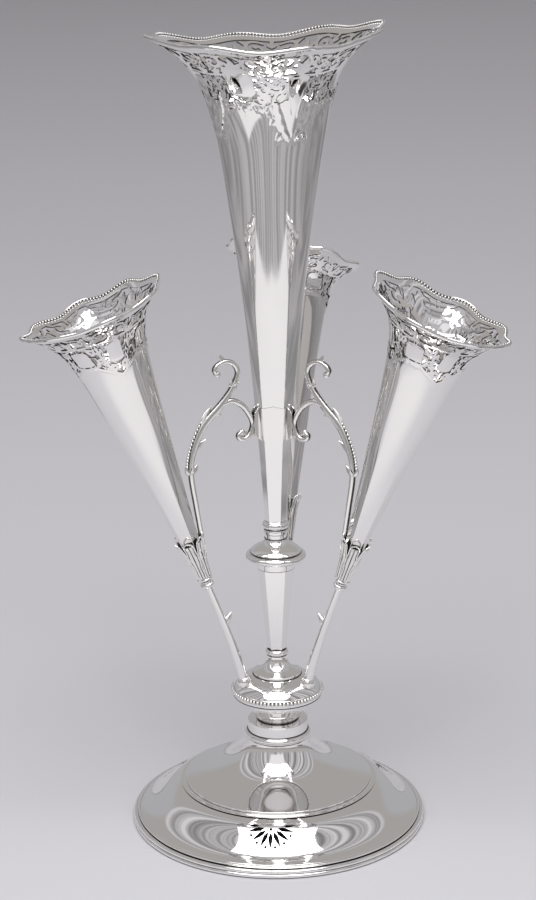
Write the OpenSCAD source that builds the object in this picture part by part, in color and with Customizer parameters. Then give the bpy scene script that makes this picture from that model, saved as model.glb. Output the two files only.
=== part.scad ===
// Silver epergne: a tall trumpet vase on a domed foot, with three smaller trumpet vases on arms
// that plug into sockets round the column. Millimetres, +Z up. The origin is the centre of the
// foot on the table, and the front faces -Y.

/* [Base] */
// Outer radius of the foot moulding
foot_r = 79; // [72:0.5:90]
// Radial width of the foot moulding
foot_w = 7; // [6:0.5:10]
// Height of the foot moulding
foot_h = 4.6; // [4:0.1:7]
// Radius of the lower bead of the foot moulding
foot_bead_r = 1.2; // [1:0.1:2]
// Radius of the upper bead of the foot moulding
foot_top_bead_r = 1.1; // [0.8:0.1:1.6]
// Radius of the step between the two tiers
step_r = 50.6; // [42:0.2:58]
// Height of the small riser at the step
step_rise = 0.6; // [0.4:0.1:2]
// Height of the lower tier above the foot moulding
skirt_h = 17.5; // [12:0.5:24]
// Height of the upper tier above the step
dome_h = 23.9; // [18:0.1:34]
// Radius of the flat seat on top of the dome
dome_top_r = 16.6; // [14:0.2:20]
// Sheet thickness of the base
base_wall = 1.2; // [0.8:0.1:1.8]

/* [Base piercing] */
// Number of slots in each pierced fan
petal_count = 7; // [3:2:9]
// Length of one slot
petal_l = 8.5; // [6:0.5:10]
// Width of one slot
petal_w = 2.4; // [1.5:0.1:3]
// Distance from the fan's root to its slots
petal_root = 4; // [4:0.25:6]

/* [Column] */
// Outer radius of the collar ring
collar_r = 18; // [16.5:0.1:20]
// Height of the collar ring
collar_h = 3.8; // [3:0.1:5]
// Radius of the plain neck band
neck_r = 16.2; // [15:0.1:17.5]
// Height of the neck band
neck_h = 6; // [4:0.2:9]
// Radius of the hollow in the collar ring and the neck band
neck_bore_r = 9.5; // [7:0.1:10.4]
// Radius of the spool at its foot
spool_foot_r = 10.9; // [10.8:0.1:12]
// Radius of the spool under its plate
spool_top_r = 14.8; // [13:0.1:18]
// Height of the spool with its plate
spool_h = 14.4; // [10:0.2:20]
// Radius of the spool's plate
plate_r = 23.2; // [22.6:0.1:24]
// Thickness of the spool's plate
plate_t = 1.2; // [0.8:0.1:2]
// Radius of the socket disc
disc_r = 23.6; // [22.8:0.1:26]
// Height of the socket disc's upright edge
disc_edge_h = 4.4; // [3.6:0.1:5.5]
// Height of the socket disc
disc_h = 11.4; // [9.5:0.1:14]
// Radius of the beading round the socket disc
beading_r = 1.6; // [1:0.1:1.8]
// Sheet thickness of the spool and the socket disc
column_wall = 1.2; // [0.8:0.1:1.5]

/* [Stem] */
// Radius of the stem's foot
stem_foot_r = 12.9; // [11:0.1:14]
// Height of the stem's foot
stem_foot_h = 10.7; // [8:0.1:15]
// Height of the stem foot's upright edge
stem_foot_edge = 1.5; // [1:0.1:2.5]
// Radius of the stem foot's neck
stem_neck_r = 5.2; // [4.4:0.1:6]
// Radius of the ring between the foot and the stem
stem_ring_r = 6.15; // [5.6:0.05:7]
// Height of the ring between the foot and the stem
stem_ring_h = 3.2; // [2.4:0.1:4]
// Corner radius of the six-sided stem at its foot
stem_low_r = 4.9; // [4.7:0.1:6]
// Corner radius of the six-sided stem at its top
stem_top_r = 9.9; // [7:0.1:10.2]
// Length of the six-sided stem
stem_h = 46.2; // [36:0.2:60]
// Sheet thickness of the six-sided stem
stem_wall = 1.1; // [0.8:0.1:1.2]
// Half angle of the broad facets on the stem and the tall vase
facet_half = 34; // [28:0.5:36]

/* [Knop] */
// Radius of the fillet under the knop
knop_fillet_r = 10.3; // [10.2:0.1:12]
// Height of the fillet under the knop
knop_fillet_h = 3.3; // [2:0.1:5]
// Outer radius of the knop's flange
knop_r = 16; // [14.5:0.1:19]
// Radius of the rounded edge of the flange
knop_edge_r = 1.9; // [1.2:0.1:2.4]
// Radius of the knop's upper dome
knop_dome_r = 13.6; // [12:0.1:14]
// Height of the knop
knop_h = 16.1; // [13:0.1:20]
// Radius of the trumpet socket's neck
socket_neck_r = 5.7; // [5.4:0.1:6.2]
// Radius of the fillet on top of the trumpet socket
socket_fillet_r = 6.3; // [6:0.1:7.5]
// Height of the fillet on top of the trumpet socket
socket_fillet_h = 2.3; // [1.5:0.1:3]
// Height of the trumpet socket above the knop
socket_h = 5; // [4:0.1:8]
// Radius of the socket's sleeve inside the knop
sleeve_r = 4.6; // [4.3:0.1:5.2]

/* [Tie rod] */
// Radius of the rod that holds the column together
rod_r = 2.4; // [1.8:0.1:2.6]
// Radial gap between the rod and the pieces on it
rod_gap = 0.1; // [0.05:0.05:0.2]
// Length of rod screwed into the knop
rod_grip = 4; // [3:0.5:5]
// Length of rod below the washer
rod_tail = 6; // [5:0.5:9]
// Radius of the washer under the dome
washer_r = 9; // [7:0.5:11]
// Thickness of the washer
washer_t = 1.5; // [1:0.1:2.5]
// Corner radius of the nut
nut_r = 5; // [4.2:0.1:6]
// Height of the nut
nut_h = 4; // [3:0.1:5]

/* [Tall vase] */
// Height of the tall trumpet to the mean of its rim
vase_l = 249; // [200:0.5:290]
// Corner radius of the tall trumpet at its foot
vase_foot_r = 5.6; // [5:0.1:6.6]
// Radius that the tall trumpet gains evenly along its length
vase_taper = 14.2; // [10:0.1:18]
// Radius that the tall trumpet gains with the square of its length
vase_swell = 15.5; // [10:0.1:20]
// Radius that the flare of the mouth adds
vase_flare = 23.5; // [14:0.1:26]
// How late the flare of the tall mouth opens
vase_flare_power = 21; // [12:1:24]
// Sheet thickness of all the trumpets
vase_wall = 0.9; // [0.7:0.1:1.2]
// Thickness of the trumpets' floors
vase_floor = 3; // [2:0.5:6]
// Radius of the ring at the tall trumpet's foot
vase_ring_r = 6.95; // [6.4:0.05:8]
// Height of the ring at the tall trumpet's foot
vase_ring_h = 4.6; // [3.4:0.1:6]
// Radius of the tall vase's spigot
spigot_r = 3.4; // [2.8:0.1:3.8]
// Length of the tall vase's spigot
spigot_l = 13; // [8:0.5:14]
// Radial clearance of every spigot in its socket
spigot_gap = 0.05; // [0.02:0.01:0.1]

/* [Rims] */
// Number of waves round each rim
rim_lobes = 8; // [6:1:12]
// How far the waves of the tall rim swing out
vase_lobe_out = 2.2; // [2:0.1:6]
// How far the waves of the tall rim rise
vase_lobe_up = 1; // [0.4:0.1:2.5]
// How far the sides of the tall rim rise above its mean
vase_saddle = 3.1; // [0:0.1:5]
// How far one side of the tall rim is tipped up, and the other down
vase_tip_h = 2; // [0:0.1:5]
// How far the tall mouth is set over, away from its tipped-up side
vase_over_w = 2.5; // [0:0.1:4]
// How far the waves of the side rims swing out
side_lobe_out = 1.3; // [1:0.1:4]
// How far the waves of the side rims rise
side_lobe_up = 0.7; // [0.3:0.1:1.8]
// How far the sides of the side rims rise above their mean
side_saddle = 1.2; // [0:0.1:3]
// How far one side of each side rim is tipped up, and the other down
side_tip_h = 5.2; // [0:0.1:7]
// How far each side mouth is set over, towards its tipped-up side
side_over_w = 1.7; // [0:0.1:3]
// Radius of the wire round each rim
rim_wire_r = 1; // [0.7:0.1:1.4]

/* [Tie band] */
// Height of the tie band's middle above the tall trumpet's foot
tie_at = 54; // [46:0.5:64]
// Height of the tie band
tie_h = 18; // [12:0.5:22]
// Thickness of the tie band
tie_t = 0.5; // [0.4:0.1:1]
// How far a scroll branch stands off the tie band
branch_stand = 2; // [1:0.1:4]
// Thickness of one cheek of a lug
lug_t = 1; // [0.7:0.1:1.4]
// Gap between a lug's cheek and the scroll branch
lug_gap = 0.3; // [0.2:0.05:0.6]

/* [Arms] */
// Lean of the sockets from upright
socket_tilt = 15; // [10:0.5:20]
// Radius of a bulb socket
bulb_r = 4; // [3.6:0.1:5]
// Height of a bulb socket's middle above the disc
bulb_lift = 1; // [0.5:0.1:2]
// Height of a bulb socket's flat mouth above its middle
bulb_mouth = 3; // [2.4:0.1:3.2]
// Radius of the shank under a bulb socket
shank_r = 3; // [2.7:0.1:3.2]
// Length of the shank below the bulb's middle
shank_l = 7.4; // [6:0.1:8]
// Radial gap between a shank and its hole
shank_gap = 0.1; // [0.05:0.05:0.2]
// Radius of an arm's spigot
arm_spigot_r = 1.85; // [1.4:0.05:2]
// Length of an arm's spigot
arm_spigot_l = 9; // [6:0.5:9.5]
// Radius of an arm at its foot
arm_low_r = 2.6; // [2.2:0.1:3]
// Radius of an arm at its top
arm_top_r = 1.75; // [1.4:0.05:2.4]
// Length of the straight seat at an arm's foot
arm_seat = 1.5; // [1:0.1:4]
// Outward reach of an arm
arm_reach = 19.2; // [15:0.2:26]
// Rise of an arm
arm_rise = 54.1; // [46:0.2:64]
// Length of the thorn on an arm
thorn_l = 11; // [8:0.5:13]
// Radius of the thorn at its foot
thorn_r = 1.3; // [1:0.1:1.7]
// Place of the thorn along its arm
thorn_at = 0.56; // [0.4:0.02:0.7]
// Lean of the thorn towards the stem
thorn_tilt = 27; // [15:1:40]

/* [Side vases] */
// Lean of the side vases from upright
vase_tilt = 21.25; // [17:0.25:26]
// Radius of the knop under a side vase
arm_knop_r = 3.7; // [3:0.1:4.5]
// Height of the knop under a side vase
arm_knop_h = 5; // [4:0.1:7]
// Height of the leaf calyx
calyx_h = 18; // [14:0.5:24]
// Radius of the leaf calyx at its tips
calyx_top_r = 7; // [6.6:0.1:9]
// Thickness of the leaf calyx
calyx_t = 0.9; // [0.7:0.1:1.3]
// Gap between the calyx and its trumpet
calyx_gap = 0.15; // [0.1:0.05:0.3]
// Depth of the notches between the calyx leaves
calyx_notch = 9; // [5:0.5:12]
// Length of a side trumpet to the mean of its rim
side_l = 157.5; // [130:0.5:190]
// Corner radius of a side trumpet at its foot
side_foot_r = 3.2; // [2.6:0.1:4]
// Radius that a side trumpet gains evenly along its length
side_taper = 16; // [12:0.1:20]
// Radius that a side trumpet gains with the square of its length
side_swell = 3; // [1:0.1:8]
// Radius that the flare of a side mouth adds
side_flare = 14.3; // [8:0.1:18]
// How late the flare of a side mouth opens
side_flare_power = 18; // [10:1:22]

/* [Scroll brackets] */
// Width of a scroll bracket, across its plane
bracket_w = 2.6; // [2:0.1:3.2]
// Thickness of a scroll bracket in its plane
bracket_t = 2.8; // [2:0.1:3.6]
// Thickness of the curled ends
curl_t = 2.2; // [1.2:0.1:2.4]
// Thickness of the bead strip on a scroll bracket
bead_strip_t = 1.4; // [1:0.1:1.8]

/* [Hidden] */
$fn = 96;
ARMS = ["left", "right", "back"];
ARM_PARTS = ["arm_spigot", "arm_tube", "arm_thorn", "arm_knop", "calyx", "trumpet", "rim_wire",
             "scroll_bracket", "scroll_branch", "bracket_beading"];

polished = "gainsboro";
cast = "silver";
steel = "slategray";

// Turn of each arm about the column, from +X
arm_turn = [-150, -30, 86.7];
// First crest, raised lips and tipped-up side of each side rim, from its arm's outward direction
side_crest_turn = [37.5, 8.5, 37.5];
side_lip_turn = [0, 20, 0];
side_tip_turn = [83, -104, 83];
// First crest, raised lips and tipped-up side of the tall rim, from +X
vase_crest_turn = 20.8;
vase_lip_turn = 14.6;
vase_tip_turn = -14;
// Turn of the first facet of the tall vase and the stem, and of a side vase
front_facet = -90;
side_facet = 0;
even_half = 30;

// Samples along one facet, rings along a trumpet, sides of a swept bar and steps along a curve
facet_steps = 9;
ring_steps = 9;
bar_sides = 8;
curve_steps = 8;
scroll_steps = 3;
arm_steps = 9;
arm_sides = 16;
wire_sides = 6;

// Share of a trumpet's length at which its section starts and ends turning from six-sided to round
round_from = 0.1;
round_to = 0.65;
// Share of a trumpet's length at which its waves begin, and how the rings crowd to the rim
wave_from = 0.8;
ring_crowd = 1.8;

// Heights of the stack, from the table up
z_foot = foot_h;
z_step = z_foot + skirt_h;
z_dome = z_step + dome_h;
z_collar = z_dome + collar_h;
z_neck = z_collar + neck_h;
z_spool = z_neck + spool_h;
z_plate = z_spool - plate_t;
z_disc = z_spool + disc_h;
z_stem_foot = z_disc + stem_foot_h;
z_ring = z_stem_foot + stem_ring_h;
z_stem = z_ring + stem_h;
z_knop = z_stem + knop_h;
z_socket = z_knop + socket_h;
z_vase = z_socket + vase_ring_h;
z_washer = z_dome - base_wall - washer_t;

rod_hole_r = rod_r + rod_gap;
bore_r = spigot_r + spigot_gap;
arm_bore_r = arm_spigot_r + spigot_gap;
bore_end = 0.6;

// Smoothed step from 0 to 1
function ease(x) = let (c = min(1, max(0, x))) c * c * (3 - 2 * c);
function reverse(list) = [for (i = [len(list) - 1:-1:0]) list[i]];
function bezier_at(p, t) =
    pow(1 - t, 3) * p[0] + 3 * t * pow(1 - t, 2) * p[1] + 3 * t * t * (1 - t) * p[2] + pow(t, 3) * p[3];
function bezier(p, steps = curve_steps) = [for (i = [0:steps]) bezier_at(p, i / steps)];
function arc(centre, r, a0, a1, steps = curve_steps) =
    [for (i = [0:steps]) let (a = a0 + (a1 - a0) * i / steps) centre + r * [cos(a), sin(a)]];
// Smooth curve through control points
function spline_at(p, i, t) =
    let (a = p[max(0, i - 1)], b = p[i], c = p[i + 1], d = p[min(len(p) - 1, i + 2)])
    0.5 * (2 * b + (c - a) * t + (2 * a - 5 * b + 4 * c - d) * t * t + (3 * b - a - 3 * c + d) * t * t * t);
function spline(p, steps = scroll_steps) =
    concat([for (i = [0:len(p) - 2], k = [0:steps - 1]) spline_at(p, i, k / steps)], [p[len(p) - 1]]);
// Side faces between rings of equal count, closed on themselves or capped
function wall_faces(rings, sides, closed) =
    [for (i = [0:rings - (closed ? 1 : 2)], j = [0:sides - 1])
        let (n = (i + 1) % rings, k = (j + 1) % sides)
        let (a = i * sides + j, b = n * sides + j, c = n * sides + k, d = i * sides + k)
        each [[a, b, c], [a, c, d]]];
// Cap faces, as triangles from the middle of the first ring and of the last
function cap_faces(rings, sides) =
    let (low = rings * sides, high = low + 1, top = low - sides)
    [for (j = [0:sides - 1])
        let (k = (j + 1) % sides)
        each [[low, j, k], [high, top + k, top + j]]];
function middle(ring) = [for (q = ring) 1] * ring / len(ring);

module loft(rings, closed = false) {
    sides = len(rings[0]);
    skin = [for (r = rings, p = r) p];
    ends = closed ? [] : [middle(rings[0]), middle(rings[len(rings) - 1])];
    faces = concat(wall_faces(len(rings), sides, closed), closed ? [] : cap_faces(len(rings), sides));
    polyhedron(points = concat(skin, ends), faces = faces, convexity = 8);
}

// A bar along a curve in the XZ plane, with half thicknesses in the plane and a half width across it
module bar(path, half_t, half_w, sides = bar_sides) {
    last = len(path) - 1;
    loft([for (i = [0:last])
        let (t = path[min(last, i + 1)] - path[max(0, i - 1)], u = t / norm(t), n = [u[1], -u[0]])
        [for (j = [0:sides - 1])
            let (a = 360 * j / sides, q = path[i] + half_t[i] * cos(a) * n)
            [q[0], half_w[i] * sin(a), q[1]]]]);
}

// Samples round a six-sided section: the angle, and the facet's share of the corner radius there
function hex_samples(first, half) =
    [for (i = [0:5], j = [0:facet_steps - 1])
        let (h = i % 2 == 0 ? half : 60 - half, d = h * (2 * j / facet_steps - 1))
        [first + 60 * i + d, cos(h) / cos(d)]];
function hex_ring(r, z, first, half) =
    [for (i = [0:5])
        let (h = i % 2 == 0 ? half : 60 - half, a = first + 60 * i - h)
        [r * cos(a), r * sin(a), z]];

// A trumpet's shape: length, foot radius, taper, swell, flare, flare power
vase_shape = [vase_l, vase_foot_r, vase_taper, vase_swell, vase_flare, vase_flare_power];
side_shape = [side_l, side_foot_r, side_taper, side_swell, side_flare, side_flare_power];
// A rim's waves: outward, upward, saddle, tip, set over, first crest, lips, tipped-up side
vase_wave = [vase_lobe_out, vase_lobe_up, vase_saddle, vase_tip_h, -vase_over_w,
             vase_crest_turn, vase_lip_turn, vase_tip_turn];
function side_wave(i) = [side_lobe_out, side_lobe_up, side_saddle, side_tip_h, side_over_w,
                         side_crest_turn[i], side_lip_turn[i], side_tip_turn[i]];
vase_samples = hex_samples(front_facet, facet_half);
side_samples = hex_samples(side_facet, even_half);

function trumpet_r(s, t) = s[1] + s[2] * t + s[3] * t * t + s[4] * pow(t, s[5]);
function trumpet_slope(s, t) = (s[2] + 2 * s[3] * t + s[5] * s[4] * pow(t, s[5] - 1)) / s[0];
// One point of a trumpet's skin as [radius, height], a given depth inside its outer face
function trumpet_point(s, w, t, sample, depth) =
    let (
        slope = trumpet_slope(s, t),
        n = 1 / sqrt(1 + slope * slope),
        m = ease((t - round_from) / (round_to - round_from)),
        swing = pow(max(0, (t - wave_from) / (1 - wave_from)), 2),
        lobe = cos(rim_lobes * (sample[0] - w[5])),
        lip = cos(2 * (sample[0] - w[6])),
        tip = cos(sample[0] - w[7]),
        r = trumpet_r(s, t) * (m + (1 - m) * sample[1]) - depth * n + swing * (w[0] * lobe + w[4] * tip)
    )
    [r, t * s[0] + depth * slope * n + swing * (w[1] * lobe + w[2] * lip + w[3] * tip)];
function trumpet_ring(s, w, samples, t, depth) =
    [for (q = samples)
        let (p = trumpet_point(s, w, t, q, depth))
        [p[0] * cos(q[0]), p[0] * sin(q[0]), p[1]]];

module trumpet(s, w, samples) {
    floor_t = vase_floor / s[0];
    steps = [for (i = [0:ring_steps]) 1 - pow(1 - i / ring_steps, ring_crowd)];
    loft(concat(
        [for (t = steps) trumpet_ring(s, w, samples, t, 0)],
        [for (t = reverse(steps)) trumpet_ring(s, w, samples, floor_t + (1 - floor_t) * t, vase_wall)]
    ));
}

// Wire round a trumpet's rim, centred on the edge of the sheet
module rim_wire(s, w, samples) {
    loft([for (q = samples)
        let (c = trumpet_point(s, w, 1, q, vase_wall / 2))
        [for (j = [0:wire_sides - 1])
            let (a = 360 * j / wire_sides, r = c[0] + rim_wire_r * sin(a))
            [r * cos(q[0]), r * sin(q[0]), c[1] + rim_wire_r * cos(a)]]], closed = true);
}

// Rounded ring: a half round moulding on a flat core
module ring_moulding(core_r, outer_r, z, h) {
    rotate_extrude() {
        translate([core_r, z]) square([outer_r - h / 2 - core_r, h]);
        translate([outer_r - h / 2, z + h / 2]) circle(h / 2);
    }
}

// Base outlines, from the foot up
skirt_r = foot_r - 2 * foot_bead_r;
skirt_top = z_step - step_rise;
skirt_run = skirt_r - step_r;
// The skirt rises in an ogee from its edge to the step
skirt_curve = [[skirt_r, z_foot + base_wall], [skirt_r - 0.41 * skirt_run, z_foot + 0.16 * skirt_h],
               [step_r + 0.44 * skirt_run, skirt_top - 0.08 * skirt_h], [step_r, skirt_top]];
dome_rim_r = step_r - step_rise;
dome_run = dome_rim_r - dome_top_r;
// The dome is nearly flat at its rim and sweeps up to its seat
dome_curve = [[dome_rim_r, z_step + base_wall], [dome_rim_r - 0.42 * dome_run, z_step + 0.2 * dome_h],
              [dome_top_r + 0.06 * dome_run, z_step + 0.35 * dome_h], [dome_top_r, z_dome]];
// The pierced fan's place on the skirt, and the lean of the skirt's face there
fan_share = 0.5;
fan_at = bezier_at(skirt_curve, fan_share);
fan_run = bezier_at(skirt_curve, fan_share + 0.01) - fan_at;
fan_lean = atan2(fan_run[1], -fan_run[0]);
fan_spread = 150;
fan_turns = [-90, 30, 150];
cut = 4;

module foot_ring() {
    color(polished) rotate_extrude() {
        translate([foot_r - foot_w, 0]) square([foot_w - foot_bead_r, foot_h]);
        translate([foot_r - foot_bead_r, foot_bead_r]) circle(foot_bead_r);
        translate([skirt_r + foot_top_bead_r, foot_h - foot_top_bead_r]) circle(foot_top_bead_r);
    }
}

// A slot with two round sides and pointed ends, along +X from the origin
module petal(l, w) {
    side_r = (l * l / 4 + w * w / 4) / w;
    translate([l / 2, 0]) intersection() {
        translate([0, side_r - w / 2]) circle(side_r);
        translate([0, w / 2 - side_r]) circle(side_r);
    }
}

module fan() {
    for (i = [0:petal_count - 1])
        rotate(fan_spread * (i / (petal_count - 1) - 0.5))
            translate([petal_root, 0]) petal(petal_l, petal_w);
}

// Lower tier: the pierced skirt, the riser and the ledge that the dome sits on
module base_skirt() {
    face = bezier(skirt_curve, 2 * curve_steps);
    inner = [for (p = face) p - [base_wall, base_wall]];
    ledge_r = dome_rim_r - base_wall;
    color(polished) difference() {
        rotate_extrude() polygon(concat([[skirt_r, z_foot]], face,
            [[step_r, z_step], [ledge_r, z_step], [ledge_r, z_step - base_wall]], reverse(inner)));
        for (a = fan_turns)
            rotate([0, 0, a]) translate([fan_at[0], 0, fan_at[1]]) rotate([0, 90 - fan_lean, 0])
                translate([-petal_root - petal_l / 2, 0, -cut]) linear_extrude(2 * cut) fan();
    }
}

// Upper tier: the dome, closed by its seat
module base_dome() {
    face = bezier(dome_curve, 2 * curve_steps);
    inner = [for (p = face) p - [base_wall, base_wall]];
    color(polished) rotate_extrude() polygon(concat([[dome_rim_r, z_step]], face,
        [[rod_hole_r, z_dome], [rod_hole_r, z_dome - base_wall]], reverse(inner)));
}

module collar_ring() {
    color(polished) ring_moulding(neck_bore_r, collar_r, z_dome, collar_h);
}

module neck_band() {
    color(polished) rotate_extrude()
        translate([neck_bore_r, z_collar]) square([neck_r - neck_bore_r, neck_h]);
}

module spool() {
    swell = spool_top_r - spool_foot_r;
    outer = bezier([[spool_foot_r, z_neck], [spool_foot_r + 0.15 * swell, z_neck + 0.3 * spool_h],
                    [spool_foot_r + 0.7 * swell, z_plate - 0.35 * spool_h], [spool_top_r, z_plate]]);
    inner = [for (p = outer) p - [column_wall, 0]];
    color(polished) rotate_extrude() polygon(concat(outer, [[plate_r, z_plate], [plate_r, z_spool],
        [rod_hole_r, z_spool], [rod_hole_r, z_plate]], reverse(inner)));
}

z_edge = z_spool + disc_edge_h;
disc_curve = [[disc_r, z_edge], [disc_r - 1.2, z_edge + 0.4 * (z_disc - z_edge)],
              [stem_foot_r + 4.3, z_disc - 0.6], [stem_foot_r, z_disc]];
disc_outer = concat([[disc_r, z_spool]], bezier(disc_curve));

// Middle of a bulb socket, in an arm's own plane
bulb_at = bezier_at(disc_curve, 0.5) + [0, bulb_lift];

module at_arm(i) {
    rotate([0, 0, arm_turn[i]]) children();
}

module at_socket(i) {
    at_arm(i) translate([bulb_at[0], 0, bulb_at[1]]) rotate([0, socket_tilt, 0]) children();
}

module socket_disc() {
    inner = [for (i = [1:len(disc_outer) - 1]) disc_outer[i] - [column_wall, column_wall]];
    color(polished) difference() {
        rotate_extrude() polygon(concat(disc_outer,
            [[rod_hole_r, z_disc], [rod_hole_r, z_disc - column_wall]],
            reverse(inner), [[disc_r - column_wall, z_spool]]));
        for (i = [0:len(ARMS) - 1])
            at_socket(i) translate([0, 0, -shank_l])
                cylinder(h = shank_l + bulb_r, r = shank_r + shank_gap);
    }
}

module disc_beading() {
    z = z_edge - beading_r;
    color(cast) rotate_extrude() difference() {
        translate([disc_r, z]) circle(beading_r);
        translate([0, z - beading_r]) square([disc_r, 2 * beading_r]);
    }
}

module arm_socket(i) {
    mouth = bulb_r + cut;
    color(polished) difference() {
        union() {
            difference() {
                at_socket(i) intersection() {
                    sphere(bulb_r);
                    translate([-bulb_r, -bulb_r, -bulb_r])
                        cube([2 * bulb_r, 2 * bulb_r, bulb_r + bulb_mouth]);
                }
                rotate_extrude() polygon(concat([[0, z_spool]], disc_outer, [[0, z_disc]]));
            }
            at_socket(i) translate([0, 0, -shank_l]) cylinder(h = shank_l, r = shank_r);
        }
        at_socket(i) translate([0, 0, bulb_mouth - arm_spigot_l - bore_end])
            cylinder(h = mouth + arm_spigot_l, r = arm_bore_r);
    }
}

module stem_foot() {
    z_top = z_disc + stem_foot_edge;
    flare = bezier([[stem_foot_r, z_top], [stem_foot_r - 4, z_top + 0.15 * stem_foot_h],
                    [stem_neck_r, z_top + 0.3 * stem_foot_h], [stem_neck_r, z_stem_foot]]);
    color(polished) rotate_extrude() polygon(concat([[rod_hole_r, z_disc], [stem_foot_r, z_disc]], flare,
        [[rod_hole_r, z_stem_foot]]));
}

module stem_ring() {
    color(polished) ring_moulding(rod_hole_r, stem_ring_r, z_stem_foot, stem_ring_h);
}

module hex_stem() {
    color(polished) loft([
        hex_ring(stem_low_r, z_ring, front_facet, facet_half),
        hex_ring(stem_top_r, z_stem, front_facet, facet_half),
        hex_ring(stem_top_r - stem_wall, z_stem, front_facet, facet_half),
        hex_ring(stem_low_r - stem_wall, z_ring, front_facet, facet_half)
    ], closed = true);
}

module stem_knop() {
    z_fillet = z_stem + knop_fillet_h;
    edge = [knop_r - knop_edge_r, z_fillet + 1.1 + knop_edge_r];
    z_rim = edge[1] + knop_edge_r;
    dome = bezier([[knop_dome_r, z_rim + 0.8], [knop_dome_r - 2, z_rim + 0.55 * (z_knop - z_rim)],
                   [socket_neck_r + 0.6, z_rim + 0.5 * (z_knop - z_rim)], [socket_neck_r, z_knop]]);
    z_sleeve = z_socket - spigot_l - bore_end;
    z_rod = z_stem + rod_grip;
    color(polished) rotate_extrude() polygon(concat(
        [[rod_hole_r, z_stem], [knop_fillet_r, z_stem], [knop_fillet_r, z_fillet]],
        arc(edge, knop_edge_r, -90, 90), [[knop_dome_r - 0.5, z_rim + 0.3]], dome,
        [[sleeve_r + rod_gap, z_knop], [sleeve_r + rod_gap, z_sleeve], [0, z_sleeve], [0, z_rod],
         [rod_hole_r, z_rod]]
    ));
}

module trumpet_socket() {
    z_sleeve = z_socket - spigot_l - bore_end;
    z_fillet = z_socket - socket_fillet_h;
    color(polished) rotate_extrude() polygon([
        [bore_r, z_sleeve], [sleeve_r, z_sleeve], [sleeve_r, z_knop], [socket_neck_r, z_knop],
        [socket_neck_r, z_fillet], [socket_fillet_r, z_fillet], [socket_fillet_r, z_socket],
        [bore_r, z_socket]
    ]);
}

module tie_rod() {
    z_low = z_washer - rod_tail;
    color(steel) translate([0, 0, z_low]) cylinder(h = z_stem + rod_grip - z_low, r = rod_r);
}

module base_washer() {
    color(steel) translate([0, 0, z_washer]) difference() {
        cylinder(h = washer_t, r = washer_r);
        translate([0, 0, -cut]) cylinder(h = washer_t + 2 * cut, r = rod_hole_r);
    }
}

module base_nut() {
    color(steel) translate([0, 0, z_washer - nut_h]) difference() {
        cylinder(h = nut_h, r = nut_r, $fn = 6);
        translate([0, 0, -cut]) cylinder(h = nut_h + 2 * cut, r = rod_hole_r);
    }
}

module at_vase() {
    translate([0, 0, z_vase]) children();
}

module center_trumpet() {
    color(polished) at_vase() trumpet(vase_shape, vase_wave, vase_samples);
}

module center_foot_ring() {
    color(polished) ring_moulding(0, vase_ring_r, z_socket, vase_ring_h);
}

module center_spigot() {
    color(steel) translate([0, 0, z_socket - spigot_l]) cylinder(h = spigot_l, r = spigot_r);
}

module center_rim_wire() {
    color(cast) at_vase() rim_wire(vase_shape, vase_wave, vase_samples);
}

// The tie band's ends, as shares of the tall trumpet's length
tie_low = (tie_at - tie_h / 2) / vase_l;
tie_high = (tie_at + tie_h / 2) / vase_l;
tie_mid = tie_at / vase_l;
arm_facet = [0, cos(60 - facet_half)];
function tie_face(t) = trumpet_point(vase_shape, vase_wave, t, arm_facet, -tie_t) + [0, z_vase];

module tie_band() {
    steps = [tie_low, tie_mid, tie_high];
    color(polished) at_vase() loft(concat(
        [for (t = steps) trumpet_ring(vase_shape, vase_wave, vase_samples, t, -tie_t)],
        [for (t = reverse(steps)) trumpet_ring(vase_shape, vase_wave, vase_samples, t, 0)]
    ), closed = true);
}

// Where the innermost turn of a scroll branch lies, between the cheeks of its lug
branch_at = tie_face(tie_mid) + [branch_stand + bracket_t / 2, 0];

module tie_lugs() {
    low = tie_face(tie_low);
    high = tie_face(tie_high);
    reach = branch_at[0] + bracket_t / 4;
    seat = [tie_t, 0];
    inner = bracket_w / 2 + lug_gap;
    color(cast) for (i = [0:len(ARMS) - 1], s = [-1, 1])
        at_arm(i) translate([0, s * (inner + lug_t / 2) + lug_t / 2, 0])
            rotate([90, 0, 0]) linear_extrude(lug_t)
                polygon([low - seat, [reach, low[1] + tie_h / 5], [reach, high[1] - tie_h / 5], high - seat]);
}

// An arm's path in its own plane, from the socket's mouth to the side vase's knop
socket_dir = [sin(socket_tilt), cos(socket_tilt)];
vase_dir = [sin(vase_tilt), cos(vase_tilt)];
arm_low = bulb_at + bulb_mouth * socket_dir;
arm_bend = arm_low + arm_seat * socket_dir;
arm_high = arm_low + [arm_reach, arm_rise];
arm_span = norm(arm_high - arm_bend) / 3;
arm_curve = [arm_bend, arm_bend + arm_span * socket_dir, arm_high - arm_span * vase_dir, arm_high];
arm_path = concat([arm_low], bezier(arm_curve, arm_steps));

module at_side_vase(i) {
    at_arm(i) translate([arm_high[0], 0, arm_high[1]]) rotate([0, vase_tilt, 0]) children();
}

module arm_spigot(i) {
    color(steel) at_socket(i) translate([0, 0, bulb_mouth - arm_spigot_l])
        cylinder(h = arm_spigot_l, r = arm_spigot_r);
}

module arm_tube(i) {
    last = len(arm_path) - 1;
    half = [for (k = [0:last]) arm_low_r + (arm_top_r - arm_low_r) * k / last];
    color(polished) at_arm(i) bar(arm_path, half, half, arm_sides);
}

module arm_thorn(i) {
    foot = bezier_at(arm_curve, thorn_at);
    color(cast) at_arm(i) translate([foot[0], 0, foot[1]]) rotate([0, -thorn_tilt, 0])
        cylinder(h = thorn_l, r1 = thorn_r, r2 = thorn_r / 4);
}

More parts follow.
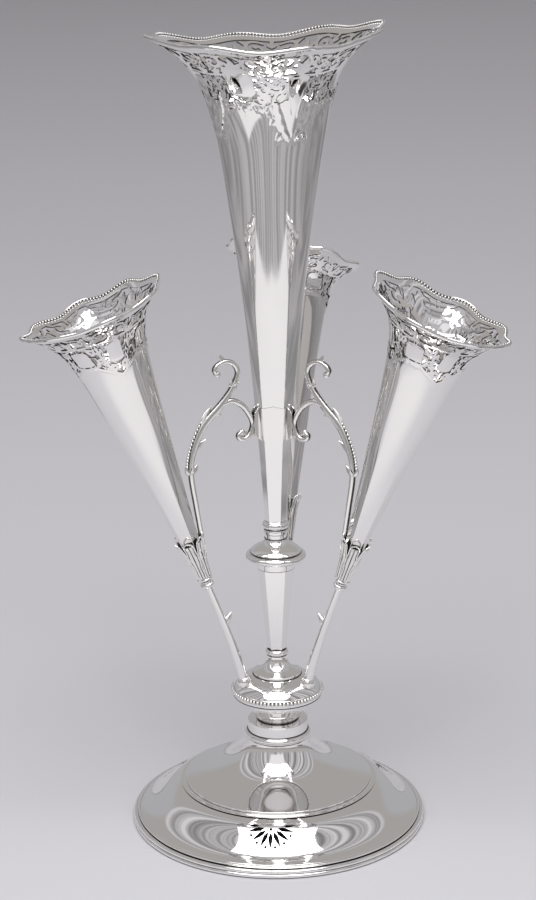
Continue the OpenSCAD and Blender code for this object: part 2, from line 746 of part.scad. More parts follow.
module arm_knop(i) {
    bead = arm_knop_h / 3;
    color(polished) at_side_vase(i) rotate_extrude() {
        square([arm_knop_r - bead, arm_knop_h]);
        translate([arm_knop_r - bead, bead]) circle(bead);
        translate([arm_knop_r - 1.2 * bead, arm_knop_h - 0.8 * bead]) circle(0.8 * bead);
    }
}

calyx_floor = 1.2;
calyx_leaves = 6;
z_trumpet = arm_knop_h + calyx_floor;
calyx_low_r = trumpet_r(side_shape, 0) + calyx_gap;
calyx_high_r = trumpet_r(side_shape, (calyx_h - calyx_floor) / side_l) + calyx_gap;

module calyx(i) {
    leaf_w = 2 * PI * calyx_top_r / calyx_leaves;
    notch_w = leaf_w / 3 * (1 + cut / calyx_notch);
    color(cast) at_side_vase(i) translate([0, 0, arm_knop_h]) difference() {
        rotate_extrude() polygon([[0, 0], [calyx_low_r + calyx_t, 0], [calyx_high_r + calyx_t, 0.7 * calyx_h],
            [calyx_top_r, calyx_h], [calyx_high_r, calyx_h], [calyx_low_r, calyx_floor], [0, calyx_floor]]);
        for (k = [0:calyx_leaves - 1])
            rotate([0, 0, 360 * k / calyx_leaves]) translate([0, 0, calyx_h]) rotate([90, 0, 0])
                linear_extrude(2 * calyx_top_r) polygon([[-notch_w, cut], [notch_w, cut], [0, -calyx_notch]]);
    }
}

module side_trumpet(i) {
    color(polished) at_side_vase(i) translate([0, 0, z_trumpet])
        trumpet(side_shape, side_wave(i), side_samples);
}

module side_rim_wire(i) {
    color(cast) at_side_vase(i) translate([0, 0, z_trumpet])
        rim_wire(side_shape, side_wave(i), side_samples);
}

// Scroll paths, as shares of the way from the calyx to the tall vase's lug
scroll_foot = arm_high + (arm_knop_h + 0.95 * calyx_h) * vase_dir
    - (calyx_high_r + calyx_t) * [vase_dir[1], -vase_dir[0]];
scroll_span = branch_at - scroll_foot;
function scroll_point(q) = scroll_foot + [q[0] * scroll_span[0], q[1] * scroll_span[1]];
main_shares = [[0.02, -0.1], [0, 0], [-0.12, 0.36], [-0.2, 0.64], [-0.15, 0.83], [0.06, 1.04], [0.4, 1.2],
               [0.62, 1.34], [0.72, 1.45], [0.65, 1.53], [0.5, 1.56], [0.35, 1.54], [0.28, 1.5], [0.33, 1.46],
               [0.4, 1.48]];
branch_shares = [[0.4, 1.2], [0.6, 1.22], [0.8, 1.17], [0.94, 1.08], [1, 1], [0.95, 0.92], [0.85, 0.88],
                 [0.74, 0.89], [0.72, 0.92], [0.78, 0.94]];
main_path = spline([for (q = main_shares) scroll_point(q)]);
branch_path = spline([for (q = branch_shares) scroll_point(q)]);
// Shares of the main path between which the bead strip runs
beads_from = 0.24;
beads_to = 0.36;

// Half thickness along a scroll: full at the root, fine towards the curled end
function scroll_half(path, full) =
    let (last = len(path) - 1)
    [for (i = [0:last]) (full + (curl_t - full) * ease(1.6 * i / last - 0.5)) / 2];

module scroll_bracket(i) {
    half = scroll_half(main_path, bracket_t);
    color(cast) at_arm(i) bar(main_path, half, [for (h = half) h * bracket_w / bracket_t]);
}

module scroll_branch(i) {
    half = scroll_half(branch_path, (bracket_t + curl_t) / 2);
    color(cast) at_arm(i) bar(branch_path, half, [for (h = half) h * bracket_w / bracket_t]);
}

module bracket_beading(i) {
    last = len(main_path) - 1;
    off = (bracket_t + bead_strip_t) / 2 - 0.3;
    strip = [for (k = [round(beads_from * last):round(beads_to * last)])
        let (t = main_path[k + 1] - main_path[k - 1], u = t / norm(t)) main_path[k] + off * [u[1], -u[0]]];
    half = [for (p = strip) bead_strip_t / 2];
    color(cast) at_arm(i) bar(strip, half, half);
}

foot_ring();
base_skirt();
base_dome();
collar_ring();
neck_band();
spool();
socket_disc();
disc_beading();
stem_foot();
stem_ring();
hex_stem();
stem_knop();
trumpet_socket();
tie_rod();
base_washer();
base_nut();
center_trumpet();
center_foot_ring();
center_spigot();
center_rim_wire();
tie_band();
tie_lugs();
for (i = [0:len(ARMS) - 1]) {
    arm_socket(i);
    arm_spigot(i);
    arm_tube(i);
    arm_thorn(i);
    arm_knop(i);
    calyx(i);
    side_trumpet(i);
    side_rim_wire(i);
    scroll_bracket(i);
    scroll_branch(i);
    bracket_beading(i);
}
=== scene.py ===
import math

import bmesh
import bpy
import numpy as np
from mathutils import Euler, Matrix, Vector


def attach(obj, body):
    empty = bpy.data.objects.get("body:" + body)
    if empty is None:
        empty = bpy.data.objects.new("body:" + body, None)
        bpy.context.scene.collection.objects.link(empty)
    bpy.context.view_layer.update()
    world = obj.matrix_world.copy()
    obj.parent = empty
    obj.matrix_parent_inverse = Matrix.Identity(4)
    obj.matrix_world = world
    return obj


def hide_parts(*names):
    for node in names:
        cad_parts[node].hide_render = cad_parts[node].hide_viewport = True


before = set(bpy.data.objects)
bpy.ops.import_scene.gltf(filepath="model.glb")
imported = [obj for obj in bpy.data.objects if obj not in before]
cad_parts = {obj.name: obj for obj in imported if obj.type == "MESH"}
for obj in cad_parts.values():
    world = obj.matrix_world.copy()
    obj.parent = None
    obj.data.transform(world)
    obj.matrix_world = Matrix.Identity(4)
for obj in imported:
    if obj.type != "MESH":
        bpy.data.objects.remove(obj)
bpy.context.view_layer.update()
MM = 0.001

# Heights of the stack and main radii, in millimetres, as in the part's source
FOOT_R, FOOT_W, FOOT_BEAD, FOOT_TOP_BEAD = 79.0, 7.0, 1.2, 1.1
STEP_R, STEP_RISE, BASE_WALL = 50.6, 0.6, 1.2
DOME_TOP_R = 16.6
Z_FOOT, Z_STEP, Z_DOME, Z_COLLAR, Z_NECK = 4.6, 22.1, 46.0, 49.8, 55.8
Z_PLATE, Z_SPOOL, Z_EDGE, Z_DISC = 69.0, 70.2, 74.6, 81.6
Z_STEM_FOOT, Z_RING, Z_STEM, Z_KNOP = 92.3, 95.5, 141.7, 157.8
Z_SOCKET, Z_VASE = 162.8, 167.4
ROD_HOLE_R = 2.5
ARMS = ("left", "right", "back")
ARM_TURN = {"left": -150.0, "right": -30.0, "back": 86.7}

# A trumpet's shape: length, foot radius, taper, swell, flare, flare power
VASE = (249.0, 5.6, 14.2, 15.5, 23.5, 21)
SIDE = (157.5, 3.2, 16.0, 3.0, 14.3, 18)
# A trumpet's six sides: direction of the first, and half its angle
VASE_FACETS, SIDE_FACETS = (-90, 34), (0, 30)
# A rim's waves: outward, upward, saddle, tip, set over, first crest, lips, tipped-up side
VASE_WAVE = (2.2, 1.0, 3.1, 2.0, -2.5, 20.8, 14.6, -14.0)
SIDE_SWING = (1.3, 0.7, 1.2, 5.2, 1.7)
SIDE_WAVE = {
    "left": (*SIDE_SWING, 37.5, 0.0, 83.0),
    "right": (*SIDE_SWING, 8.5, 20.0, -104.0),
    "back": (*SIDE_SWING, 37.5, 0.0, 83.0),
}
TALL = (VASE, VASE_WAVE, *VASE_FACETS)
RIM_LOBES = 8
VASE_WALL, VASE_FLOOR = 0.9, 3.0
# Shares of a trumpet's length: where its six sides melt into a round, and where its rim starts to swing
ROUND_FROM, ROUND_RUN = 0.1, 0.55
SWING_FROM, SWING_RUN = 0.8, 0.2
# How sharp the ridges between the sides are, and how near a cut may come to a point of its grid
RIDGE = 70.0
CUT_MARGIN = 0.03
# Corners that turn by more than this are rounded, over this share of the sides next to them at most
FILLET_FROM, FILLET_SHARE = math.radians(25), 0.45
# Leaves of a spray: reach along and across the stem, bow and width, as shares of their size
SPRAY_REACH, SPRAY_BOW, SPRAY_WIDTH = 0.75, 0.1, 0.3


# Small geometry helpers, in millimetres
def smoothstep(x):
    c = np.clip(x, 0, 1)
    return c * c * (3 - 2 * c)


def around(count, whole=360):
    """Angles of equal steps round a whole turn."""
    return np.linspace(0, whole, count, endpoint=False)


def polar(r, a, z):
    """Points at radii, angles in radians and heights."""
    return np.stack(np.broadcast_arrays(r * np.cos(a), r * np.sin(a), z), -1)


def bezier(p, steps):
    p = np.asarray(p, float)
    t = np.linspace(0, 1, steps + 1)[:, None]
    return (1 - t) ** 3 * p[0] + 3 * t * (1 - t) ** 2 * p[1] + 3 * t * t * (1 - t) * p[2] + t ** 3 * p[3]


def arc(centre, r, a0, a1, steps):
    a = np.radians(np.linspace(a0, a1, steps + 1))
    return np.stack([centre[0] + r * np.cos(a), centre[1] + r * np.sin(a)], 1)


def half_round(bore, r, low, bead, steps):
    """Outline of a ring whose outer face is half round."""
    face = arc((r, low + bead), bead, -90, 90, steps)
    return np.concatenate([[(bore, low)], face, [(bore, low + 2 * bead)]])


def spline(points, steps):
    """Smooth curve through control points."""
    p = np.asarray(points, float)
    out = []
    for i in range(len(p) - 1):
        a, b, c, d = p[max(0, i - 1)], p[i], p[i + 1], p[min(len(p) - 1, i + 2)]
        for k in range(steps):
            t = k / steps
            out.append(0.5 * (2 * b + (c - a) * t + (2 * a - 5 * b + 4 * c - d) * t * t
                              + (3 * b - a - 3 * c + d) * t ** 3))
    out.append(p[-1])
    return np.array(out)


def fillet(points, radius, steps=4):
    """Rounds the sharp corners of a closed outline."""
    p = [np.asarray(q, float) for q in points]
    out = []
    for i, q in enumerate(p):
        back, ahead = p[i - 1] - q, p[(i + 1) % len(p)] - q
        lb, la = np.linalg.norm(back), np.linalg.norm(ahead)
        if lb < 1e-6 or la < 1e-6:
            continue
        cos_turn = -np.dot(back, ahead) / (lb * la)
        turn = math.acos(max(-1, min(1, cos_turn)))
        if turn < FILLET_FROM or q[0] < 0.01:
            out.append(q)
            continue
        d = min(radius * math.tan(turn / 2), FILLET_SHARE * lb, FILLET_SHARE * la)
        a, b = q + back / lb * d, q + ahead / la * d
        for t in np.linspace(0, 1, steps + 1):
            out.append((1 - t) ** 2 * a + 2 * t * (1 - t) * q + t * t * b)
    return np.array(out)


def grid_faces(rows, cols, wrap_rows, wrap_cols):
    faces = []
    for i in range(rows if wrap_rows else rows - 1):
        n = (i + 1) % rows
        for j in range(cols if wrap_cols else cols - 1):
            k = (j + 1) % cols
            faces.append((i * cols + j, i * cols + k, n * cols + k, n * cols + j))
    return faces


def lathe(profile, segments=160):
    """A closed outline of (radius, height) turned about the Z axis."""
    p = np.asarray(profile, float)
    verts = polar(p[:, 0:1], around(segments, 2 * math.pi), p[:, 1:2]).reshape(-1, 3)
    return verts, grid_faces(len(p), segments, True, True)


def loft(rings, closed=False):
    """Skin over rings of equal count, capped at both ends unless it closes on itself."""
    rings = np.asarray(rings, float)
    n, m = rings.shape[:2]
    verts = rings.reshape(-1, 3)
    faces = grid_faces(n, m, closed, True)
    if not closed:
        faces = faces + [tuple(range(m)), tuple(range((n - 1) * m, n * m))]
    return verts, faces


def ball(centre, r, columns=12, rows=7):
    """A small bead."""
    verts, _ = lathe(arc((0, 0), r, -90, 90, rows - 1), columns)
    return verts + np.asarray(centre, float), grid_faces(rows, columns, False, True)


def join(*parts):
    verts, faces, base = [], [], 0
    for v, f in parts:
        verts.append(np.asarray(v, float))
        faces.extend(tuple(i + base for i in q) for q in f)
        base += len(v)
    return np.concatenate(verts), faces


def moved(part, matrix):
    v = np.asarray(part[0], float)
    m = np.array(matrix)
    return (v @ m[:3, :3].T + m[:3, 3], *part[1:])


def lengths(line):
    """Distance along a line at each of its points."""
    return np.concatenate([[0], np.cumsum(np.linalg.norm(np.diff(line, axis=0), axis=1))])


def tangents(path):
    tangent = np.gradient(path, axis=0)
    return tangent / np.linalg.norm(tangent, axis=1)[:, None]


def section(sides, power):
    """Shares across and through an oval section; a power over 1 pinches it into ridges."""
    a = around(sides, 2 * math.pi)
    return [np.sign(q) * np.abs(q) ** power for q in (np.cos(a), np.sin(a))]


def bar(path, half_t, half_w, sides=16, power=1.0):
    """A bar along a curve in the XZ plane, with half sizes in the plane and across it."""
    path = np.asarray(path, float)
    tangent = tangents(path)
    normal = np.stack([tangent[:, 1], -tangent[:, 0]], 1)
    ca, sa = section(sides, power)
    rings = []
    for q, n, ht, hw in zip(path, normal, half_t, half_w):
        rings.append(np.stack([q[0] + n[0] * ht * ca, hw * sa, q[1] + n[1] * ht * ca], 1))
    return loft(rings)


# Trumpets
def hex_share(phi, first, half):
    """Share of the corner radius round a six-sided section, with the ridges eased."""
    total = np.zeros_like(phi)
    for i in range(6):
        h = half if i % 2 == 0 else 60 - half
        d = (phi - first - 60 * i + 180) % 360 - 180
        near = np.abs(d) < 75
        share = math.cos(math.radians(h)) / np.cos(np.radians(np.where(near, d, 0)))
        total += np.where(near, share ** -RIDGE, 0)
    return total ** (-1 / RIDGE)


def trumpet_r(s, t):
    return s[1] + s[2] * t + s[3] * t * t + s[4] * t ** s[5]


def trumpet_slope(s, t):
    return (s[2] + 2 * s[3] * t + s[5] * s[4] * t ** (s[5] - 1)) / s[0]


def roundness(t):
    """How far a trumpet's section has turned from six-sided to round."""
    return smoothstep((t - ROUND_FROM) / ROUND_RUN)


def trumpet_at(s, wave, first, half, phi, t, depth):
    """Points of a trumpet's skin, a given depth inside its outer face."""
    phi, t, depth = np.broadcast_arrays(*(np.asarray(q, float) for q in (phi, t, depth)))
    slope = trumpet_slope(s, t)
    n = 1 / np.sqrt(1 + slope * slope)
    m = roundness(t)
    swing = np.clip((t - SWING_FROM) / SWING_RUN, 0, None) ** 2
    lobe = np.cos(np.radians(RIM_LOBES * (phi - wave[5])))
    lip = np.cos(np.radians(2 * (phi - wave[6])))
    tip = np.cos(np.radians(phi - wave[7]))
    r = trumpet_r(s, t) * (m + (1 - m) * hex_share(phi, first, half)) - depth * n
    r = r + swing * (wave[0] * lobe + wave[4] * tip)
    z = t * s[0] + depth * slope * n + swing * (wave[1] * lobe + wave[2] * lip + wave[3] * tip)
    return polar(r, np.radians(phi), z)


def share_at(s, d):
    """Share of a trumpet's length at a distance along its skin from the rim."""
    t = np.linspace(1, 0.4, 4001)
    run = np.hypot(np.diff(trumpet_r(s, t)), np.diff(t * s[0]))
    return np.interp(d, np.concatenate([[0], np.cumsum(run)]), t)


def pierced(field, relief, place):
    """A sheet that closes on itself, cut out of a grid where the field is above zero."""
    rows, cols = field.shape
    inside = field > 0
    ahead = (np.arange(cols) + 1) % cols
    low, high = inside[:-1], inside[1:]
    corner = [(low, 0, 0), (low[:, ahead], 0, 1), (high[:, ahead], 1, 1), (high, 1, 0)]
    count = sum(c[0].astype(int) for c in corner)
    at_row = list(np.repeat(np.arange(rows), cols).astype(float))
    at_col = list(np.tile(np.arange(cols), rows).astype(float))
    height = list(relief.ravel())
    crossings = {}

    def crossing(i, j, k, l):
        """Point of the cut between two neighbours of the grid, the first of them inside."""
        key = (i, j % cols, k, l % cols)
        if key not in crossings:
            f, g = field[i, j % cols], field[k, l % cols]
            q = min(1 - CUT_MARGIN, max(CUT_MARGIN, f / (f - g)))
            crossings[key] = len(at_row)
            at_row.append(i + q * (k - i))
            at_col.append(j + q * (l - j))
            height.append((1 - q) * relief[i, j % cols] + q * relief[k, l % cols])
        return crossings[key]

    faces, cuts = [], []
    for i, j in zip(*np.nonzero(count == 4)):
        k = ahead[j]
        faces.append((i * cols + j, i * cols + k, (i + 1) * cols + k, (i + 1) * cols + j))
    for i, j in zip(*np.nonzero((count > 0) & (count < 4))):
        ring, edges = [], []
        for q in range(4):
            here, there = corner[q], corner[(q + 1) % 4]
            a = (i + here[1], j + here[2])
            b = (i + there[1], j + there[2])
            if here[0][i, j]:
                ring.append(a[0] * cols + a[1] % cols)
                if not there[0][i, j]:
                    ring.append(crossing(*a, *b))
                    edges.append(ring[-1])
            elif there[0][i, j]:
                ring.append(crossing(*b, *a))
                edges.append(ring[-1])
        faces.append(tuple(ring))
        if not corner[0][0][i, j]:
            edges = edges[1:] + edges[:1]
        cuts.extend(zip(edges[0::2], edges[1::2]))
    for i in (0, rows - 1):
        cuts.extend((i * cols + j, i * cols + ahead[j]) for j in np.nonzero(inside[i] & inside[i][ahead])[0])
    used = sorted({q for f in faces for q in f})
    number = {q: n for n, q in enumerate(used)}
    pick = np.array(used)
    row, col, lift = (np.array(q)[pick] for q in (at_row, at_col, height))
    verts = np.concatenate([place(row, col, lift, False), place(row, col, lift, True)])
    n = len(used)
    outer = [tuple(number[q] for q in f) for f in faces]
    inner = [tuple(n + q for q in reversed(f)) for f in outer]
    walls = [(number[a], number[b], n + number[b], n + number[a]) for a, b in cuts]
    return verts, outer + inner + walls, len(walls)


# Ornament: fields above zero inside a figure, in millimetres
def ribbon(x, y, points, half):
    """A band along a path whose half width changes from point to point."""
    p = np.asarray(points, float)
    w = np.interp(np.linspace(0, 1, len(p)), np.linspace(0, 1, len(half)), half)
    best = np.full(np.broadcast(x, y).shape, -99.0)
    for a, b, wa, wb in zip(p[:-1], p[1:], w[:-1], w[1:]):
        run = b - a
        q = np.clip(((x - a[0]) * run[0] + (y - a[1]) * run[1]) / (run @ run + 1e-9), 0, 1)
        away = np.hypot(x - a[0] - q * run[0], y - a[1] - q * run[1])
        best = np.maximum(best, wa + (wb - wa) * q - away)
    return best


def curl(x, y, centre, radii, angles, half, steps=26):
    """A scroll that winds up to a small boss."""
    a = np.radians(np.linspace(*angles, steps))
    r = np.linspace(*radii, steps)
    points = np.stack([centre[0] + r * np.cos(a), centre[1] + r * np.sin(a)], 1)
    return np.maximum(ribbon(x, y, points, half), disc(x, y, points[-1], 1.5 * half[-1]))


def disc(x, y, centre, r):
    return r - np.hypot(x - centre[0], y - centre[1])


def petal(x, y, root, tip, bow, width):
    """A pointed leaf from its root to its tip, bowed to one side."""
    root, tip = np.asarray(root, float), np.asarray(tip, float)
    run = tip - root
    side = np.array([-run[1], run[0]])
    q = np.linspace(0, 1, 9)[:, None]
    widths = [0.35 * width, width, 0.85 * width, 0.5 * width, 0.1]
    return ribbon(x, y, root + q * run + bow * 4 * q * (1 - q) * side, widths)


def petals(x, y, *leaves):
    """Pointed leaves, each given by its root, tip, bow and width."""
    return union(*[petal(x, y, *each) for each in leaves])


def spray(x, y, path, sizes, half):
    """A stem with leaves in pairs along it and one at its end."""
    p = spline(path, 8)
    total = ribbon(x, y, p, half)
    for q, size in zip(np.linspace(0.25, 0.9, len(sizes)), sizes):
        k = int(q * (len(p) - 2))
        t = p[k + 1] - p[k]
        t = t / np.linalg.norm(t)
        n = np.array([-t[1], t[0]])
        for turn in (-1, 1):
            tip = p[k] + size * (SPRAY_REACH * t + SPRAY_REACH * turn * n)
            total = np.maximum(total, petal(x, y, p[k], tip, SPRAY_BOW * turn, SPRAY_WIDTH * size))
    t = p[-1] - p[-2]
    tip = p[-1] + sizes[-1] * t / np.linalg.norm(t)
    return np.maximum(total, petal(x, y, p[-1], tip, 0, SPRAY_WIDTH * sizes[-1]))


def union(*fields):
    total = fields[0]
    for f in fields[1:]:
        total = np.maximum(total, f)
    return total


def tendrils(x, y, lean, pitch, half):
    """Fine wavy stems side by side, which tie the larger figures together."""
    u = x * math.cos(lean) + y * math.sin(lean)
    v = y * math.cos(lean) - x * math.sin(lean)
    return half - np.abs((u + 0.8 * np.sin(1.1 * v)) % pitch - pitch / 2)


def folded(phi, first, period):
    """Angle from the nearest axis of a repeating, mirrored pattern."""
    return np.abs((phi - first + period / 2) % period - period / 2)


def rounded_box(x, y, centre, half, corner):
    qx = np.abs(x - centre[0]) - half[0] + corner
    qy = np.abs(y - centre[1]) - half[1] + corner
    return corner - np.hypot(np.maximum(qx, 0), np.maximum(qy, 0)) - np.minimum(np.maximum(qx, qy), 0)


def shell(s, wave, first, half, rows, columns):
    """Outer and inner skin of a trumpet between its floor and the last row."""
    phi = around(columns)
    outer = trumpet_at(s, wave, first, half, phi[None, :], rows[:, None], 0.0)
    low = VASE_FLOOR / s[0]
    inner_rows = low + (rows - rows[0]) * (rows[-1] - low) / (rows[-1] - rows[0])
    inner = trumpet_at(s, wave, first, half, phi[None, :], inner_rows[::-1, None], VASE_WALL)
    return loft(np.concatenate([outer, inner]))


# Materials
def node_tree(name):
    material = bpy.data.materials.new(name)
    material.use_nodes = True
    tree = material.node_tree
    tree.nodes.clear()
    return material, tree


def shader_node(tree, kind, inputs=None, **settings):
    """A shader node: its settings, then its inputs, each a value or a socket to link."""
    node = tree.nodes.new("ShaderNode" + kind)
    for name, value in settings.items():
        setattr(node, name, value)
    for name, value in (inputs or {}).items():
        if isinstance(value, bpy.types.NodeSocket):
            tree.links.new(value, node.inputs[name])
        else:
            node.inputs[name].default_value = value
    return node


def ranged(tree, source, low, high, to_low=0.0, to_high=1.0, smooth=True):
    """A value's share of the way from low to high."""
    inputs = {"Value": source, "From Min": low, "From Max": high, "To Min": to_low, "To Max": to_high}
    kind = "SMOOTHSTEP" if smooth else "LINEAR"
    return shader_node(tree, "MapRange", inputs, interpolation_type=kind).outputs[0]


def mixed(tree, share, first, second):
    """Mix of two colours, each a socket or its three levels."""
    first, second = ((*c, 1) if isinstance(c, tuple) else c for c in (first, second))
    inputs = {"Factor": share, "A": first, "B": second}
    return shader_node(tree, "Mix", inputs, data_type="RGBA").outputs["Result"]


def worked(tree, operation, *values):
    """Result of one operation on values or sockets."""
    return shader_node(tree, "Math", dict(enumerate(values)), operation=operation).outputs[0]


def product(tree, *shares):
    total = shares[0]
    for share in shares[1:]:
        total = worked(tree, "MULTIPLY", total, share)
    return total


def noise(tree, vector, scale, detail):
    inputs = {"Vector": vector, "Scale": scale, "Detail": detail}
    return shader_node(tree, "TexNoise", inputs).outputs["Fac"]


CLOUD_SCALE, MARK_SCALE, MARK_DEPTH = 60, 1400, 0.0002


def silver(name, tone, dark, rough, bump, tarnish_and_shade_limits, reach):
    """Polished metal: cloudy gloss, fine polishing marks, and tarnish with painted shade in the hollows,
    darkened by occlusion.
    """
    material, tree = node_tree(name)
    place = shader_node(tree, "TexCoord").outputs["Object"]
    cloud = noise(tree, place, CLOUD_SCALE, 5)
    marks = noise(tree, place, MARK_SCALE, 3)
    # Occlusion darkens the colour in hollows and narrow gaps: tarnish there, and painted shade too
    tarnish_and_shade = shader_node(tree, "AmbientOcclusion", {"Distance": reach}, samples=8).outputs["AO"]
    tint = mixed(tree, cloud, tone, tuple(0.97 * c for c in tone))
    relief = shader_node(tree, "Bump", {"Strength": bump, "Distance": MARK_DEPTH, "Height": marks})
    shader = shader_node(tree, "BsdfPrincipled", {
        "Metallic": 1.0,
        "Base Color": mixed(tree, ranged(tree, tarnish_and_shade, *tarnish_and_shade_limits, smooth=False), dark, tint),
        "Roughness": ranged(tree, cloud, 0.3, 0.7, *rough, smooth=False),
        "Normal": relief.outputs[0],
    })
    shader_node(tree, "OutputMaterial", {0: shader.outputs[0]})
    return material


# Tone, tarnish with painted shade in hollows, least and most roughness, depth of marks, limits and reach of
# the tarnish and painted shade
BRIGHT, BLACK = (0.93, 0.92, 0.91), (0.03, 0.03, 0.03)
POLISHED = silver("polished_silver", BRIGHT, (0.05, 0.046, 0.043), (0.03, 0.07), 0.02, (0.25, 0.6), 0.0016)
BEADED = silver("beaded_silver", BRIGHT, BLACK, (0.05, 0.1), 0.03, (0.3, 0.75), 0.0012)
CAST = silver("cast_silver", (0.93, 0.92, 0.9), (0.03, 0.028, 0.026), (0.06, 0.13), 0.06, (0.35, 0.8), 0.002)
# A dark silver that paints shade: walls of pierced cuts, lines where parts meet, the rims' shadow lines, the
# scrolls' dark middles and the calyx's dark sheets
PAINTED_SHADE = silver("painted_shade_silver", (0.13, 0.125, 0.12), BLACK, (0.2, 0.35), 0.1, (0.2, 0.7), 0.001)
STEEL = silver("turned_steel", (0.55, 0.55, 0.56), (0.2, 0.2, 0.2), (0.25, 0.4), 0.15, (0.1, 0.5), 0.002)
MATERIALS = {"polished_silver": POLISHED, "cast_silver": CAST}
# Edges sharper than this stay crisp, and points nearer than this are one
SHARP, MERGE = math.radians(40), 2e-7


def piece(name, part, body, nodes, slot="polished_silver", material=None):
    """One finished piece of the model: its mesh, its body and the solids that it stands for."""
    verts, faces = part[:2]
    mesh = bpy.data.meshes.new(name)
    mesh.from_pydata((np.asarray(verts) * MM).tolist(), [], faces)
    mesh.materials.append(material or MATERIALS[slot])
    # The last faces, the walls of a pierced cut, take the dark silver: painted shade inside the piercings
    if len(part) > 2:
        mesh.materials.append(PAINTED_SHADE)
        for face in mesh.polygons[len(faces) - part[2]:]:
            face.material_index = 1
    work = bmesh.new()
    work.from_mesh(mesh)
    bmesh.ops.remove_doubles(work, verts=work.verts, dist=MERGE)
    bmesh.ops.recalc_face_normals(work, faces=work.faces)
    for face in work.faces:
        face.smooth = True
    for edge in work.edges:
        if len(edge.link_faces) == 2 and edge.calc_face_angle(0) > SHARP:
            edge.smooth = False
    work.to_mesh(mesh)
    work.free()
    obj = bpy.data.objects.new(name, mesh)
    bpy.context.scene.collection.objects.link(obj)
    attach(obj, body)
    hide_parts(*nodes)


# Camera, at the photograph's viewing angle
CAMERA_TURN = math.radians(4.0)
CAMERA_PITCH, CAMERA_YAW, CAMERA_ROLL = 15.906, 0.19, -0.7
CAMERA_AWAY, CAMERA_HIGH = 1.0464, 0.5038
LENS, SENSOR, FAR = 83.7, 36, 100
camera_data = bpy.data.cameras.new("camera")
camera_data.lens = LENS
camera_data.sensor_width = SENSOR
camera_data.clip_end = FAR
camera = bpy.data.objects.new("camera", camera_data)
bpy.context.scene.collection.objects.link(camera)
camera.location = (CAMERA_AWAY * math.sin(CAMERA_TURN), -CAMERA_AWAY * math.cos(CAMERA_TURN), CAMERA_HIGH)
aim = Euler((math.radians(90 - CAMERA_PITCH), 0, CAMERA_TURN + math.radians(CAMERA_YAW)), "XYZ").to_matrix()
roll = Matrix.Rotation(math.radians(CAMERA_ROLL), 3, "Z")
camera.rotation_euler = (aim @ roll).to_euler("XYZ")
bpy.context.scene.camera = camera

# Base and column: radii, and small heights
BASE_SEGMENTS = 256
COLLAR_R, COLLAR_BEAD, NECK_R, NECK_BORE_R = 16.1, 1.9, 16.2, 9.5
SPOOL_FOOT_R, SPOOL_TOP_R, PLATE_R, COLUMN_WALL = 10.9, 15.4, 23.2, 1.2
DISC_R, STEM_FOOT_R, STEM_NECK_R, RING_R, RING_BEAD = 23.6, 12.9, 5.2, 4.55, 1.6
KNOP_LOW_R, KNOP_LOW_H, KNOP_GAP, KNOP_R, KNOP_BEAD = 10.3, 3.3, 1.1, 14.1, 1.9
KNOP_TOP_R, KNOP_BORE_R, Z_BORE, Z_BORE_FLOOR = 5.7, 4.7, 149.2, 145.7
SOCKET_R, SOCKET_BORE_R, SOCKET_LIP_R, SOCKET_LIP_H = 4.6, 3.45, 6.3, 2.3
SKIRT_R = FOOT_R - 2 * FOOT_BEAD
SKIRT_TOP = Z_STEP - STEP_RISE
SKIRT_H, SKIRT_RUN = Z_STEP - Z_FOOT, SKIRT_R - STEP_R
SKIRT = [(SKIRT_R, Z_FOOT + BASE_WALL), (SKIRT_R - 0.41 * SKIRT_RUN, Z_FOOT + 0.16 * SKIRT_H),
         (STEP_R + 0.44 * SKIRT_RUN, SKIRT_TOP - 0.08 * SKIRT_H), (STEP_R, SKIRT_TOP)]
DOME_RIM_R, DOME_H = STEP_R - STEP_RISE, Z_DOME - Z_STEP
DOME_RUN = DOME_RIM_R - DOME_TOP_R
DOME = [(DOME_RIM_R, Z_STEP + BASE_WALL), (DOME_RIM_R - 0.42 * DOME_RUN, Z_STEP + 0.2 * DOME_H),
        (DOME_TOP_R + 0.06 * DOME_RUN, Z_STEP + 0.35 * DOME_H), (DOME_TOP_R, Z_DOME)]


def stand_lathe(node, outline, soften, segments=192):
    """A turned piece of the stand, with its corners softened."""
    piece(node + "_skin", lathe(fillet(outline, soften), segments), "stand", [node])


stand_lathe("foot_ring", np.concatenate([
    [(FOOT_R - FOOT_W, 0)],
    arc((FOOT_R - FOOT_BEAD, FOOT_BEAD), FOOT_BEAD, -90, 78, 16),
    arc((SKIRT_R + FOOT_TOP_BEAD, Z_FOOT - FOOT_TOP_BEAD), FOOT_TOP_BEAD, -78, 110, 16),
    [(FOOT_R - FOOT_W, Z_FOOT)],
]), 0.12, BASE_SEGMENTS)
skirt_curve = bezier(SKIRT, 60)
skirt_edge = fillet([(SKIRT_R, Z_FOOT), SKIRT[0], skirt_curve[3]], 0.45)[:-1]
skirt_step = fillet([
    (STEP_R + 3, SKIRT_TOP), (STEP_R, SKIRT_TOP), (STEP_R, Z_STEP), (STEP_R - 3, Z_STEP),
], 0.25)
skirt_outer = np.concatenate([skirt_edge, skirt_curve[3:-1], skirt_step[1:]])
skirt_way = lengths(skirt_outer)
skirt_out = np.stack([np.ones_like(skirt_way), 0.9 * np.clip(skirt_way / BASE_WALL, 0, 1)], 1)
# Fans: their place half way up the skirt, their petals, the dots between these and the corner leaves
fan_point = bezier(SKIRT, 100)[50]
FAN_WAY = skirt_way[np.argmin(np.hypot(*(skirt_outer - fan_point).T))]
FAN_TURNS = (-90, 30, 150)
FAN_PETALS, FAN_STEP, FAN_ROOT, FAN_SLOT, FAN_HALF = 7, 25, 4.0, 8.5, 1.15
DOT_AT, DOT_R = 11.6, 0.8
# Half the angle of a fan with its surround, and the grid's steps there and between fans, in degrees
FAN_REACH, FINE, COARSE = 20, 0.33, 1.0


